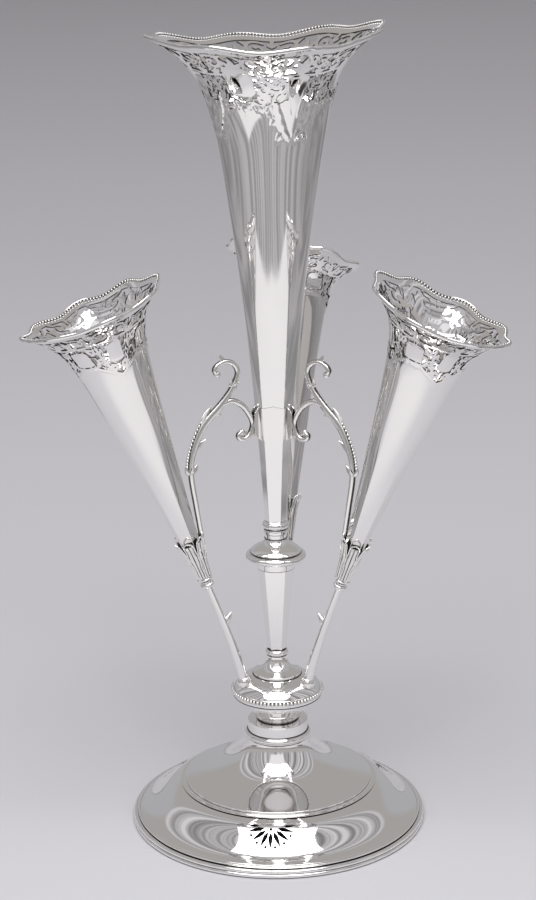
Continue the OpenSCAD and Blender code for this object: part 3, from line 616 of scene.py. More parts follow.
def fan_field(turn, way, r):
    """Metal round a fan of pierced petals that spreads down from its root."""
    x = (((turn - FAN_TURNS[0] + 60) % 120) - 60) * r * math.pi / 180
    y = FAN_WAY + FAN_ROOT + FAN_SLOT / 2 - way
    figures = [disc(x, y, (0, 1.6), 0.9)]
    for k in range(FAN_PETALS):
        a = math.radians(FAN_STEP * (k - (FAN_PETALS - 1) / 2))
        d = np.array([math.sin(a), math.cos(a)])
        figures.append(petal(x, y, FAN_ROOT * d, (FAN_ROOT + FAN_SLOT) * d, 0, FAN_HALF))
    for k in range(FAN_PETALS - 1):
        a = math.radians(FAN_STEP * (k - (FAN_PETALS - 2) / 2))
        figures.append(disc(x, y, (DOT_AT * math.sin(a), DOT_AT * math.cos(a)), DOT_R))
    for side in (-1, 1):
        figures.append(petal(x, y, (6.6 * side, -0.4), (13.0 * side, -0.7), 0.06 * side, 0.75))
    return -union(*figures)


fan_turn = np.concatenate([
    np.arange(-FAN_REACH, FAN_REACH, FINE), np.arange(FAN_REACH, 120 - FAN_REACH, COARSE),
])
skirt_phi = np.sort(np.concatenate([fan_turn + turn for turn in FAN_TURNS]) % 360)
skirt_metal = fan_field(skirt_phi[None, :], skirt_way[:, None], skirt_outer[:, 0:1])


def skirt_place(row, col, lift, inner):
    """Points of the skirt's outer or inner face; it has no relief."""
    i = np.arange(len(skirt_outer))
    r, z, nr, nz = (np.interp(row, i, q) for q in (*skirt_outer.T, *skirt_out.T))
    if inner:
        r, z = r - BASE_WALL * nr, z - BASE_WALL * nz
    phi = np.interp(col, np.arange(len(skirt_phi) + 1), np.append(skirt_phi, skirt_phi[0] + 360))
    return polar(r, np.radians(phi), z)


skirt = pierced(skirt_metal, np.zeros_like(skirt_metal), skirt_place)
piece("base_skirt_skin", skirt, "stand", ["base_skirt"])
dome_face = bezier(DOME, 64)
stand_lathe("base_dome", np.concatenate([
    [(DOME_RIM_R, Z_STEP)], dome_face, [(ROD_HOLE_R, Z_DOME), (ROD_HOLE_R, Z_DOME - BASE_WALL)],
    (dome_face - BASE_WALL)[::-1],
]), 0.3, BASE_SEGMENTS)
stand_lathe("collar_ring", half_round(NECK_BORE_R, COLLAR_R, Z_DOME, COLLAR_BEAD, 18), 0.1)
stand_lathe("neck_band", [
    (NECK_BORE_R, Z_COLLAR), (NECK_R, Z_COLLAR), (NECK_R, Z_NECK), (NECK_BORE_R, Z_NECK),
], 0.4)
spool_outer = bezier([
    (SPOOL_FOOT_R, Z_NECK), (11.5, Z_NECK + 1.8), (14.8, Z_NECK + 3.6), (SPOOL_TOP_R, Z_PLATE),
], 28)
stand_lathe("spool", np.concatenate([
    spool_outer, [(PLATE_R, Z_PLATE), (PLATE_R, Z_SPOOL), (ROD_HOLE_R, Z_SPOOL), (ROD_HOLE_R, Z_PLATE)],
    (spool_outer - (COLUMN_WALL, 0))[::-1],
]), 0.3)
DISC = [(DISC_R, Z_EDGE), (22.4, Z_EDGE + 2.8), (17.2, Z_DISC - 0.6), (STEM_FOOT_R, Z_DISC)]
disc_outer = np.concatenate([[(DISC_R, Z_SPOOL)], bezier(DISC, 28)])
stand_lathe("socket_disc", np.concatenate([
    disc_outer, [(ROD_HOLE_R, Z_DISC), (ROD_HOLE_R, Z_DISC - COLUMN_WALL)],
    (disc_outer - COLUMN_WALL)[:0:-1], [(DISC_R - COLUMN_WALL, Z_SPOOL)],
]), 0.3)
flare = bezier([
    (STEM_FOOT_R, Z_DISC + 1.5), (8.9, Z_DISC + 3.1), (STEM_NECK_R, Z_DISC + 4.71),
    (STEM_NECK_R, Z_STEM_FOOT),
], 28)
stand_lathe("stem_foot", np.concatenate([
    [(ROD_HOLE_R, Z_DISC), (STEM_FOOT_R, Z_DISC)], flare, [(ROD_HOLE_R, Z_STEM_FOOT)],
]), 0.3)
stand_lathe("stem_ring", half_round(ROD_HOLE_R, RING_R, Z_STEM_FOOT, RING_BEAD, 14), 0.1)
knop_edge = (KNOP_R, Z_STEM + KNOP_LOW_H + KNOP_GAP + KNOP_BEAD)
knop_rim = knop_edge[1] + KNOP_BEAD
knop_dome_h = Z_KNOP - knop_rim
knop_dome = bezier([
    (13.6, knop_rim + 0.8), (11.6, knop_rim + 0.55 * knop_dome_h), (6.3, knop_rim + 0.5 * knop_dome_h),
    (KNOP_TOP_R, Z_KNOP),
], 28)
stand_lathe("stem_knop", np.concatenate([
    [(ROD_HOLE_R, Z_STEM), (KNOP_LOW_R, Z_STEM), (KNOP_LOW_R, Z_STEM + KNOP_LOW_H)],
    arc(knop_edge, KNOP_BEAD, -90, 90, 16), [(13.1, knop_rim + 0.3)], knop_dome,
    [(KNOP_BORE_R, Z_KNOP), (KNOP_BORE_R, Z_BORE), (0, Z_BORE), (0, Z_BORE_FLOOR)],
    [(ROD_HOLE_R, Z_BORE_FLOOR)],
]), 0.25)
z_lip = Z_SOCKET - SOCKET_LIP_H
stand_lathe("trumpet_socket", [
    (SOCKET_BORE_R, Z_BORE), (SOCKET_R, Z_BORE), (SOCKET_R, Z_KNOP), (KNOP_TOP_R, Z_KNOP),
    (KNOP_TOP_R, z_lip), (SOCKET_LIP_R, z_lip), (SOCKET_LIP_R, Z_SOCKET), (SOCKET_BORE_R, Z_SOCKET),
], 0.3)

# Painted shade lines in dark silver where the stand's parts meet: radius, height and half thickness of each
# line
SHADE_LINES = {
    "foot_ring": [(77.95, 2.4, 0.3)],
    "collar_ring": [(16.5, Z_DOME + 0.1, 0.35), (16.3, Z_COLLAR, 0.35)],
    "spool": [(23.3, Z_SPOOL - 0.2, 0.35)],
    "stem_foot": [(12.95, Z_DISC + 0.1, 0.32)],
    "stem_ring": [(5.3, Z_STEM_FOOT, 0.28), (4.9, Z_RING, 0.28)],
    "stem_knop": [(13.35, knop_rim + 0.35, 0.32), (13.2, knop_edge[1] - 1.75, 0.32), (9.95, Z_STEM, 0.28)],
    "trumpet_socket": [(5.8, Z_KNOP + 0.1, 0.28), (5.8, z_lip, 0.28)],
}
for node, shade_lines in SHADE_LINES.items():
    part = join(*[lathe(arc((r, z), thick, 0, 360, 10)[:-1]) for r, z, thick in shade_lines])
    piece(f"{node}_seams", part, "stand", [node], material=PAINTED_SHADE)

# Six-sided stem
STEM_LOW_R, STEM_GAIN, STEM_WALL = 4.9, 5.0, 1.1
stem_phi = around(240)
stem_share = hex_share(stem_phi, *VASE_FACETS)


def stem_rings(inset, levels):
    rings = []
    for q in levels:
        r = (STEM_LOW_R + STEM_GAIN * q - inset) * stem_share
        rings.append(polar(r, np.radians(stem_phi), Z_RING + q * (Z_STEM - Z_RING)))
    return rings


levels = np.linspace(0, 1, 12)
stem = loft(stem_rings(0, levels) + stem_rings(STEM_WALL, levels[::-1]), True)
piece("hex_stem_skin", stem, "stand", ["hex_stem"])

# Beading round the socket disc, between two fine wires
BEADS, BEAD_AT, BEAD_R = 74, 24.0, 1.02
WIRE_AT, WIRE_R, WIRE_OFF = 23.6, 0.5, 1.05
bead_z = Z_EDGE - 1.6
beads = [ball((BEAD_AT * math.cos(a), BEAD_AT * math.sin(a), bead_z), BEAD_R)
         for a in around(BEADS, 2 * math.pi)]
strip = lathe(np.concatenate([
    [(23.3, bead_z - 1.45)], arc((WIRE_AT, bead_z - WIRE_OFF), WIRE_R, -80, 70, 6),
    arc((WIRE_AT, bead_z + WIRE_OFF), WIRE_R, -70, 80, 6), [(23.3, bead_z + 1.45)],
]), 192)
piece("disc_beading_skin", join(strip, *beads), "stand", ["disc_beading"], "cast_silver")

# Arms, in their own plane
SOCKET_TILT, VASE_TILT = math.radians(15), math.radians(21.25)
BULB_LIFT, BULB_R, SHANK_R, SHANK_LOW, SOCKET_HOLE_R = 1.0, 4.0, 3.0, -7.4, 1.9
ARM_SEAT, ARM_LEAD, ARM_RISE = 3.0, 1.5, (19.2, 54.1)
ARM_LOW_R, ARM_HIGH_R, ARM_KNOP_H = 2.6, 1.75, 5.0
BULB_AT = bezier(DISC, 2)[1] + (0, BULB_LIFT)
SOCKET_DIR = np.array([math.sin(SOCKET_TILT), math.cos(SOCKET_TILT)])
VASE_DIR = np.array([math.sin(VASE_TILT), math.cos(VASE_TILT)])
ARM_LOW = BULB_AT + ARM_SEAT * SOCKET_DIR
ARM_BEND = ARM_LOW + ARM_LEAD * SOCKET_DIR
ARM_HIGH = ARM_LOW + ARM_RISE
ARM_SPAN = np.linalg.norm(ARM_HIGH - ARM_BEND) / 3
ARM_CURVE = [ARM_BEND, ARM_BEND + ARM_SPAN * SOCKET_DIR, ARM_HIGH - ARM_SPAN * VASE_DIR, ARM_HIGH]
Z_TRUMPET = 6.2


def in_plane(q):
    return np.array([q[0], 0.0, q[1]])


def arm_matrix(side):
    return Matrix.Rotation(math.radians(ARM_TURN[side]), 4, "Z")


def leaned(side, at, tilt):
    """Place on an arm of a piece that leans outward."""
    return arm_matrix(side) @ Matrix.Translation(Vector(in_plane(at))) @ Matrix.Rotation(tilt, 4, "Y")


def blade(spine, half_w, half_t, across, power=1.0, sides=12):
    """A leaf or horn along a curve in space: half sizes across it and through it, at each point."""
    spine, across = np.asarray(spine, float), np.asarray(across, float)
    ca, sa = section(sides, power)
    rings = []
    for q, t, w, h in zip(spine, tangents(spine), half_w, half_t):
        side = across - np.dot(across, t) * t
        side /= np.linalg.norm(side)
        rings.append(q + np.outer(w * ca, side) + np.outer(h * sa, np.cross(t, side)))
    return loft(rings)


def leaf(base, direction, bend, length, width, thick, across, steps=10):
    """A pointed leaf from a base point, curving towards bend as it grows."""
    base, direction, bend = (np.asarray(q, float) for q in (base, direction, bend))
    s = np.linspace(0, 1, steps + 1)
    spine = base + np.outer(length * s, direction) + np.outer(length * s * s, bend)
    half_w = width / 2 * np.sin(math.pi * (0.18 + 0.82 * s) ** 0.8) + 0.05
    half_t = thick / 2 * (1 - 0.75 * s)
    return blade(spine, half_w, half_t, across, 1.25)


socket_outline = np.concatenate([
    [(SOCKET_HOLE_R, SHANK_LOW), (SHANK_R, SHANK_LOW), (SHANK_R, -2.65)],
    arc((0, 0), BULB_R, -41.4, 48.6, 18), [(SOCKET_HOLE_R, ARM_SEAT)],
])
tube_path = np.concatenate([[ARM_LOW], bezier(ARM_CURVE, 30)])
tube_half = np.linspace(ARM_LOW_R, ARM_HIGH_R, len(tube_path))
knop_outline = np.concatenate([
    [(0, 0), (2.2, 0)], arc((2.25, 1.5), 1.45, -85, 78, 14), [(2.35, 3.0)],
    arc((2.35, 3.55), 0.6, -70, 75, 8), [(2.1, 4.3), (2.1, ARM_KNOP_H), (0, ARM_KNOP_H)],
])
# Calyx: height of the solid one, and its leaves' count, foot, height, half angle, outward curl and steps
CALYX_H = 18.0
LEAVES, LEAF_LOW, LEAF_H, LEAF_HALF, LEAF_CURL, LEAF_STEPS = 6, 5.8, 25.0, math.radians(29), 1.9, 24


def side_skin(z):
    """Radius of a side trumpet at a height above its arm's end."""
    return trumpet_r(SIDE, np.clip((z - Z_TRUMPET) / SIDE[0], 0, 1))


def calyx_point(k, u, s, proud):
    """Point of a calyx leaf: across it from -1 to 1, up it from 0 to 1, and proud of the trumpet's skin."""
    z = LEAF_LOW + LEAF_H * s
    lobes = 1 + 0.12 * np.cos(2 * math.pi * (2.4 * s - 0.3))
    taper = np.where(s < 0.45, 0.82 + 0.4 * s, np.sqrt(1 - np.clip((s - 0.45) / 0.55, 0, 1) ** 2.6))
    curl_out = LEAF_CURL * np.clip((s - 0.6) / 0.4, 0, 1) ** 2
    r = side_skin(z) + 0.3 + curl_out + proud
    a = math.radians(360 / LEAVES * k) + LEAF_HALF * lobes * taper * u
    return polar(r, a, z)


def calyx_sheet(k):
    """Thin dark blade of one calyx leaf: painted shade that shows in the groove and along the edges of its
    raised parts.
    """
    u = 0.96 * np.linspace(-1, 1, 13)
    rings = []
    for s in np.linspace(0, 0.9, LEAF_STEPS):
        rings.append(np.concatenate([calyx_point(k, u, s, 0.25), calyx_point(k, u, s, -0.2)[::-1]]))
    return loft(rings)


def calyx_lobes(k):
    """Raised edges of one calyx leaf, and its two swelling halves with a groove between."""
    s = np.linspace(0, 1, LEAF_STEPS)
    a = math.radians(360 / LEAVES * k)
    out = (math.cos(a), math.sin(a), 0)
    swell = 0.35 + 0.4 * np.sin(np.linspace(0, math.pi, 9))
    parts = []
    for side in (-1, 1):
        edge = calyx_point(k, side, s, 0.25)
        parts.append(blade(edge, np.full(LEAF_STEPS, 0.4), np.full(LEAF_STEPS, 0.45), out))
        u = side * np.linspace(0.1, 0.74, 9)
        rings = []
        for q in np.linspace(0.04, 0.9, 18):
            rings.append(np.concatenate([calyx_point(k, u, q, swell), calyx_point(k, u[::-1], q, 0.1)]))
        parts.append(loft(rings))
    return join(*parts)


calyx_cup = lathe(fillet([
    (0, ARM_KNOP_H), (3.7, ARM_KNOP_H), (4.2, 5.35), (4.2, 6.0), (3.8, 6.4), (3.7, 6.9), (3.36, 6.9),
    (3.36, Z_TRUMPET), (0, Z_TRUMPET),
], 0.12), 64)
calyx_rows = np.linspace(6.5, ARM_KNOP_H + 0.8 * CALYX_H, 12)
calyx_skin = side_skin(calyx_rows)
# A thin dark sleeve on the trumpet under the leaves: painted shade between them
calyx_core = lathe(np.concatenate([
    np.stack([calyx_skin + 0.3, calyx_rows], 1), np.stack([calyx_skin + 0.05, calyx_rows], 1)[::-1],
]), 64)

# Tie band: height of its middle above the tall vase's foot, its own height and its thickness
TIE_AT, TIE_H, TIE_T = 54.0, 18.0, 0.5


def tie_face(t):
    """Point of the tie band's outer face, at a share of the tall vase's length."""
    slope = trumpet_slope(VASE, t)
    n = 1 / math.sqrt(1 + slope * slope)
    m = float(roundness(t))
    r = trumpet_r(VASE, t) * (m + (1 - m) * math.cos(math.radians(60 - VASE_FACETS[1]))) + TIE_T * n
    return np.array([r, Z_VASE + t * VASE[0] - TIE_T * slope * n])


BRANCH_AT = tie_face(TIE_AT / VASE[0]) + (3.4, 0)
CALYX_HIGH_R = trumpet_r(SIDE, (CALYX_H - 1.2) / SIDE[0]) + 0.15
SCROLL_FOOT = (ARM_HIGH + (ARM_KNOP_H + 0.95 * CALYX_H) * VASE_DIR
               - (CALYX_HIGH_R + 0.9) * np.array([VASE_DIR[1], -VASE_DIR[0]]))
SCROLL_SPAN = BRANCH_AT - SCROLL_FOOT
# Scroll brackets: shares of the way from the calyx to the lug on the tall vase
MAIN_SHARES = [(0.02, -0.1), (0, 0), (-0.12, 0.36), (-0.2, 0.64), (-0.15, 0.83), (0.06, 1.04), (0.4, 1.2),
               (0.62, 1.34), (0.72, 1.45), (0.65, 1.53), (0.5, 1.56), (0.35, 1.54), (0.28, 1.5), (0.33, 1.46)]
BRANCH_SHARES = [(0.4, 1.2), (0.6, 1.22), (0.8, 1.17), (0.94, 1.08), (1, 1), (0.95, 0.92), (0.85, 0.88),
                 (0.74, 0.89), (0.72, 0.92), (0.78, 0.94)]
SCROLL_STEPS = 10


def scroll_path(shares):
    return spline([SCROLL_FOOT + np.array(q) * SCROLL_SPAN for q in shares], SCROLL_STEPS)


main_path = scroll_path(MAIN_SHARES)
branch_path = scroll_path(BRANCH_SHARES)


def on_path(path, at):
    """Point, tangent and outward normal of a scroll path at a control point's number."""
    i = at * SCROLL_STEPS
    k = int(min(len(path) - 2, max(1, round(i))))
    t = path[k + 1] - path[k - 1]
    t = t / np.linalg.norm(t)
    return path[k], t, np.array([t[1], -t[0]])


def path_leaf(path, at, outward, along, bend, length, width, thick, off):
    """A leaf in a scroll's plane: outward and along shares set its direction, and bend turns its tip."""
    q, t, n = on_path(path, at)
    d = outward * n + along * t
    d = d / np.linalg.norm(d)
    across = np.array([d[1], -d[0]])
    base, ahead, turn, flat_side = (in_plane(v) for v in (q + n * off, d, bend * across, across))
    return leaf(base, ahead, turn, length, width, thick, flat_side)


def cross_leaf(path, at, side, along, length, width, thick):
    """A leaf that leaves a scroll's plane to one side."""
    q, t, n = on_path(path, at)
    d = np.array([0.0, side, 0.0]) + along * in_plane(t)
    d = d / np.linalg.norm(d)
    base = in_plane(q) + np.array([0, side * 0.6, 0])
    return leaf(base, d, 0.25 * in_plane(t), length, width, thick, in_plane(n))


def plated(path, half):
    """Two rounded faces of a scroll, one on each side of its plane."""
    faces = bar(path, 0.86 * half, np.full(len(path), 0.62), 16)
    return join(*[moved(faces, Matrix.Translation((0, y, 0))) for y in (-PLATE_OFF, PLATE_OFF)])


def whorl(path, at, tips):
    """A ring of leaves round a scroll: outward, inward and to both sides."""
    return [
        path_leaf(path, at, 1, tips[0], -0.25, tips[1], 3.2, 2.4, 0.3),
        path_leaf(path, at, -1, tips[2], 0.25, tips[3], 3.2, 2.4, -0.3),
        *[cross_leaf(path, at, side, 1.2, 0.7 * tips[1], 1.9, 1.1) for side in (1, -1)],
    ]


def core(path, half):
    """Dark bar between a scroll's two faces: painted shade that draws the scroll's dark outline."""
    return bar(path, half, np.full(len(path), CORE_HALF), 20, power=0.75)


PLATE_OFF, CORE_HALF = 0.95, 1.0
along_main = np.linspace(0, 1, len(main_path))
main_half = np.interp(along_main, [0, 0.11, 0.28, 0.39, 0.46, 0.52, 1], [1.0, 1.3, 1.6, 2.2, 2.1, 1.4, 1.2])
BRANCH_FULL, BRANCH_FINE = 3.0, 2.5
thinning = smoothstep(1.6 * np.linspace(0, 1, len(branch_path)) - 0.5)
branch_half = (BRANCH_FULL + (BRANCH_FINE - BRANCH_FULL) * thinning) / 2
main_scroll = join(
    plated(main_path, main_half),
    *whorl(main_path, 3.0, (0.9, 5.2, 0.8, 6.2)),
    *whorl(main_path, 7.05, (1.0, 4.2, 1.1, 4.0)),
    path_leaf(main_path, 3.95, -0.3, 1.0, -0.22, 8.4, 2.8, 1.8, -0.9),
    path_leaf(main_path, 4.95, 0.08, 1.0, 0.03, 11.0, 3.6, 2.8, 1.2),
    path_leaf(main_path, 5.6, -1, 0.5, 0, 3.8, 2.4, 1.5, -0.6),
    path_leaf(main_path, 10.3, -1, 0.3, 0, 4.2, 2.6, 1.6, -0.3),
    ball(in_plane(main_path[-1]), 1.9, 18, 11),
)
branch_scroll = join(
    plated(branch_path, branch_half),
    path_leaf(branch_path, 5.6, -1, -0.4, 0.3, 4.4, 2.5, 1.5, -0.3),
    ball(in_plane(branch_path[-1]), 1.75, 18, 11),
)
# Bracket beads: control points that they run between, count, distance from the path and radius
BEADS_FROM, BEADS_TO, BRACKET_BEADS, BEADS_OFF, BRACKET_BEAD_R = 3.29, 5.04, 14, 2.1, 0.88
bead_list = []
for q in np.linspace(BEADS_FROM, BEADS_TO, BRACKET_BEADS):
    at = np.array([np.interp(q * SCROLL_STEPS, np.arange(len(main_path)), main_path[:, k]) for k in (0, 1)])
    bead_list.append(ball(in_plane(at + on_path(main_path, q)[2] * BEADS_OFF), BRACKET_BEAD_R, 14, 9))
bracket_beads = join(*bead_list)

THORN_TILT, THORN_L = math.radians(27), 7.5
thorn_foot = in_plane(bezier(ARM_CURVE, 100)[56])
thorn_dir = np.array([-math.sin(THORN_TILT), 0, math.cos(THORN_TILT)])
thorn_hook = np.array([-1, 0, 0.2])
thorn_way = np.linspace(-0.2, 0.95, 18)
thorn_spine = [thorn_foot + thorn_dir * q * THORN_L + thorn_hook * 0.9 * abs(q) ** 3 for q in thorn_way]
thorn_bulge = np.sin(math.pi * np.clip((thorn_way + 0.5) / 1.5, 0, 1)) ** 0.6
thorn_part = blade(thorn_spine, 0.15 + 1.6 * thorn_bulge, 0.15 + 1.7 * thorn_bulge, (0, 1, 0), 1.0, 20)
socket_part = lathe(fillet(socket_outline, 0.15), 64)
tube_part = bar(tube_path, tube_half, tube_half, 40)
knop_part = lathe(fillet(knop_outline, 0.08), 72)
calyx_part = join(calyx_cup, *[calyx_lobes(k) for k in range(LEAVES)])
calyx_shade = join(calyx_core, *[calyx_sheet(k) for k in range(LEAVES)])
main_core, branch_core = core(main_path, main_half), core(branch_path, branch_half)

for side in ARMS:
    body = f"{side}_arm"
    turn, up = arm_matrix(side), leaned(side, ARM_HIGH, VASE_TILT)
    socket_place = leaned(side, BULB_AT, SOCKET_TILT)
    piece(f"{side}_arm_socket_skin", moved(socket_part, socket_place), "stand", [f"{side}_arm_socket"])
    piece(f"{side}_arm_tube_skin", moved(tube_part, turn), body, [f"{side}_arm_tube"])
    piece(f"{side}_arm_knop_skin", moved(knop_part, up), body, [f"{side}_arm_knop"])
    # The dark cores and the calyx's dark sheets are painted shade between the bright faces and leaves
    cast_parts = [
        ("arm_thorn_skin", thorn_part, turn, "arm_thorn", CAST),
        ("calyx_skin", calyx_part, up, "calyx", CAST),
        ("calyx_core_skin", calyx_shade, up, "calyx", PAINTED_SHADE),
        ("scroll_bracket_skin", main_scroll, turn, "scroll_bracket", CAST),
        ("scroll_bracket_core_skin", main_core, turn, "scroll_bracket", PAINTED_SHADE),
        ("scroll_branch_skin", branch_scroll, turn, "scroll_branch", CAST),
        ("scroll_branch_core_skin", branch_core, turn, "scroll_branch", PAINTED_SHADE),
        ("bracket_beading_skin", bracket_beads, turn, "bracket_beading", BEADED),
    ]
    for name, part, place, node, material in cast_parts:
        piece(f"{side}_{name}", moved(part, place), body, [f"{side}_{node}"], "cast_silver", material)

# Trumpets and rims
RIM_BEAD_PITCH, RIM_BEAD_R = 1.75, 0.66


def rim_line(shape, columns):
    """The middle of a trumpet's rim, and the outward direction at each of its points."""
    phi = around(columns)
    line = trumpet_at(*shape, phi, share_at(shape[0], 0.0), VASE_WALL / 2)
    return line, polar(1.0, np.radians(phi), 0.0)


def hoop(line, outward, half_out, half_up, sides=14):
    """A moulding of oval section along a closed line."""
    a = around(sides, 2 * math.pi)
    rise = np.array([0, 0, 1.0])
    return loft([q + np.outer(half_out * np.cos(a), o) + np.outer(half_up * np.sin(a), rise)
                 for q, o in zip(line, outward)], True)


def rim_part(shape, columns):
    """Upright moulding on a rim's edge, with a row of beads inside it."""
    edge, outward = rim_line(shape, columns)
    wire = hoop(edge + np.array([0, 0, 0.2]), outward, 0.5, 0.95)
    line = edge - 0.85 * outward + np.array([0, 0, 0.45])
    closed_line = np.concatenate([line, line[:1]])
    length = lengths(closed_line)
    at = np.linspace(0, length[-1], int(round(length[-1] / RIM_BEAD_PITCH)), endpoint=False)
    spots = np.stack([np.interp(at, length, closed_line[:, k]) for k in range(3)], 1)
    return join(wire, *[ball(p, RIM_BEAD_R, 10, 7) for p in spots])


def rim_shadow_line(shape, columns):
    """Dark ring that the beads stand on, inside the moulding: a painted shadow line in the fold."""
    edge, outward = rim_line(shape, columns)
    return hoop(edge - 0.45 * outward + np.array([0, 0, 0.25]), outward, 0.3, 0.8, 10)


# Pierced bands, drawn in millimetres across from an axis of the pattern and down from the rim
TALL_SHIELD = -90 - 19.5
SIDE_POINT = {"left": 82.0, "right": 53.0, "back": 82.0}
TALL_BAND_END, SIDE_BAND_END = 63.5, 44.0


def band_axes(phi, first, r):
    """Distances from a band's axes: its main figures, those between them, and the frieze's two."""
    per_degree = r * math.pi / 180
    unit, small = folded(phi, first, 90), folded(phi, first, 45)
    return [q * per_degree for q in (unit, 45 - unit, small, 22.5 - small)]


def tall_band(phi, d, r):
    """Metal and relief of the tall vase's pierced band, at angles from +X and distances from the rim."""
    d = np.where(d > 20, 20 + 0.91 * (d - 20), d)
    near_shield, near_drop, x, edge = band_axes(phi, TALL_SHIELD, r)
    scallop = 0.7 * np.cos(np.radians(folded(phi, TALL_SHIELD, 90) * 24))
    frieze = union(
        petals(
            x, d, ((0, 23), (0, 10.2), 0, 2.1), ((0.5, 21.5), (5.2, 13.0), -0.06, 1.5),
            ((0.6, 22.4), (7.8, 18.2), -0.08, 1.2), ((5.6, 11.4), (2.9, 8.0), 0.15, 0.9),
            ((8.8, 20.4), (12.9, 22.6), 0.2, 1.0),
        ),
        disc(x, d, (0, 22.4), 1.6),
        curl(x, d, (10.6, 14.4), (6.6, 1.5), (-50, -470), [0.8, 0.95, 0.75]),
        curl(edge, d, (3.3, 17.8), (3.9, 1.0), (100, -230), [0.7, 0.8, 0.65]),
        ribbon(edge, d, [(0, 7), (0, 12.6)], [1.0, 0.6]),
        petal(edge, d, (0.2, 12.0), (2.6, 9.4), 0.15, 0.8),
        ribbon(x, d, [(0, 23.6), (30, 23.6)], [0.5]),
    )
    shield = rounded_box(near_shield, d, (0, 26.6), (7.4 - 0.07 * (d - 18), 8.4), 3.2)
    drop_half = 6.0 * np.clip(1 - (d - 25) / 33, 0, 1) ** 1.15
    drop = np.minimum(drop_half - near_drop, d - 24.2)
    stem_line = [(10.5, 37.5), (12.2, 32.5), (15.6, 28.2), (19.0, 25.0)]
    fill = union(
        spray(near_shield, d, stem_line, [3.0, 2.9, 2.6, 2.3], [0.7, 0.5]),
        curl(near_shield, d, (11.4, 27.2), (3.3, 0.9), (80, -260), [0.65, 0.6]),
        curl(near_shield, d, (9.8, 35.4), (2.1, 0.8), (200, -80), [0.6, 0.55]),
        curl(near_drop, d, (8.3, 29.4), (3.0, 0.9), (100, 440), [0.65, 0.55]),
        petal(near_shield, d, (9.0, 34.8), (8.6, 29.8), 0.15, 0.9),
        petals(near_drop, d, ((5.8, 34.5), (9.6, 36.6), -0.2, 1.0), ((6.6, 26.0), (10.4, 24.6), 0.2, 0.8)),
        disc(near_shield, d, (13.4, 36.0), 1.7),
    )
    twigs = np.where(d > 23, tendrils(near_shield, d, 0.9, 3.4, 0.3), -9)
    metal = union(6.6 - d, d - 37.6 - scallop, frieze + 0.12, shield, drop, fill + 0.12, twigs)
    lobes = np.abs(np.sin(0.62 * d))
    frond = [(11.5, 34.5), (9.4, 40), (7.6, 45), (5.0, 50.5), (1.6, 55.5)]
    loop = [(0.2, 38.0), (2.6, 35.8), (4.6, 37.2), (3.2, 39.2), (0.6, 38.6)]
    leafage = union(
        ribbon(near_drop, d, frond, [1.5, 2.2, 2.4, 2.0, 1.0]) + 0.7 * lobes - 0.5,
        petals(
            near_drop, d, ((3.6, 52.5), (7.8, 56.4), -0.15, 1.3), ((7.0, 46.5), (11.0, 49.0), -0.2, 1.1),
            ((8.4, 41.5), (12.4, 42.2), -0.2, 1.1), ((7.2, 44.0), (4.6, 46.8), 0.15, 0.8),
        ),
        ribbon(near_shield, d, loop, [0.45, 0.6]),
        np.where(d > 36.5, 1.5 - np.abs(near_shield) - 0.8 * np.abs(d - 41.0), -9),
        petals(
            near_shield, d, ((5.2, 39.2), (10.4, 39.6), 0.15, 1.1), ((10.2, 39.8), (15.6, 38.8), -0.15, 1.1),
            ((7.6, 40.2), (9.2, 42.8), -0.1, 0.7),
        ),
    )
    raised = union(frieze, fill)
    plain = np.maximum(shield, drop)
    relief = 0.12 * smoothstep(raised / 0.9) * (plain < 0.2)
    relief = np.maximum(relief, 0.14 * np.exp(-((plain - 0.35) / 0.4) ** 2) * (d < 45))
    relief = np.maximum(relief, 0.5 * smoothstep(leafage / 1.3))
    relief = relief - 0.3 * np.exp(-((leafage + 0.2) / 0.3) ** 2)
    return metal, relief


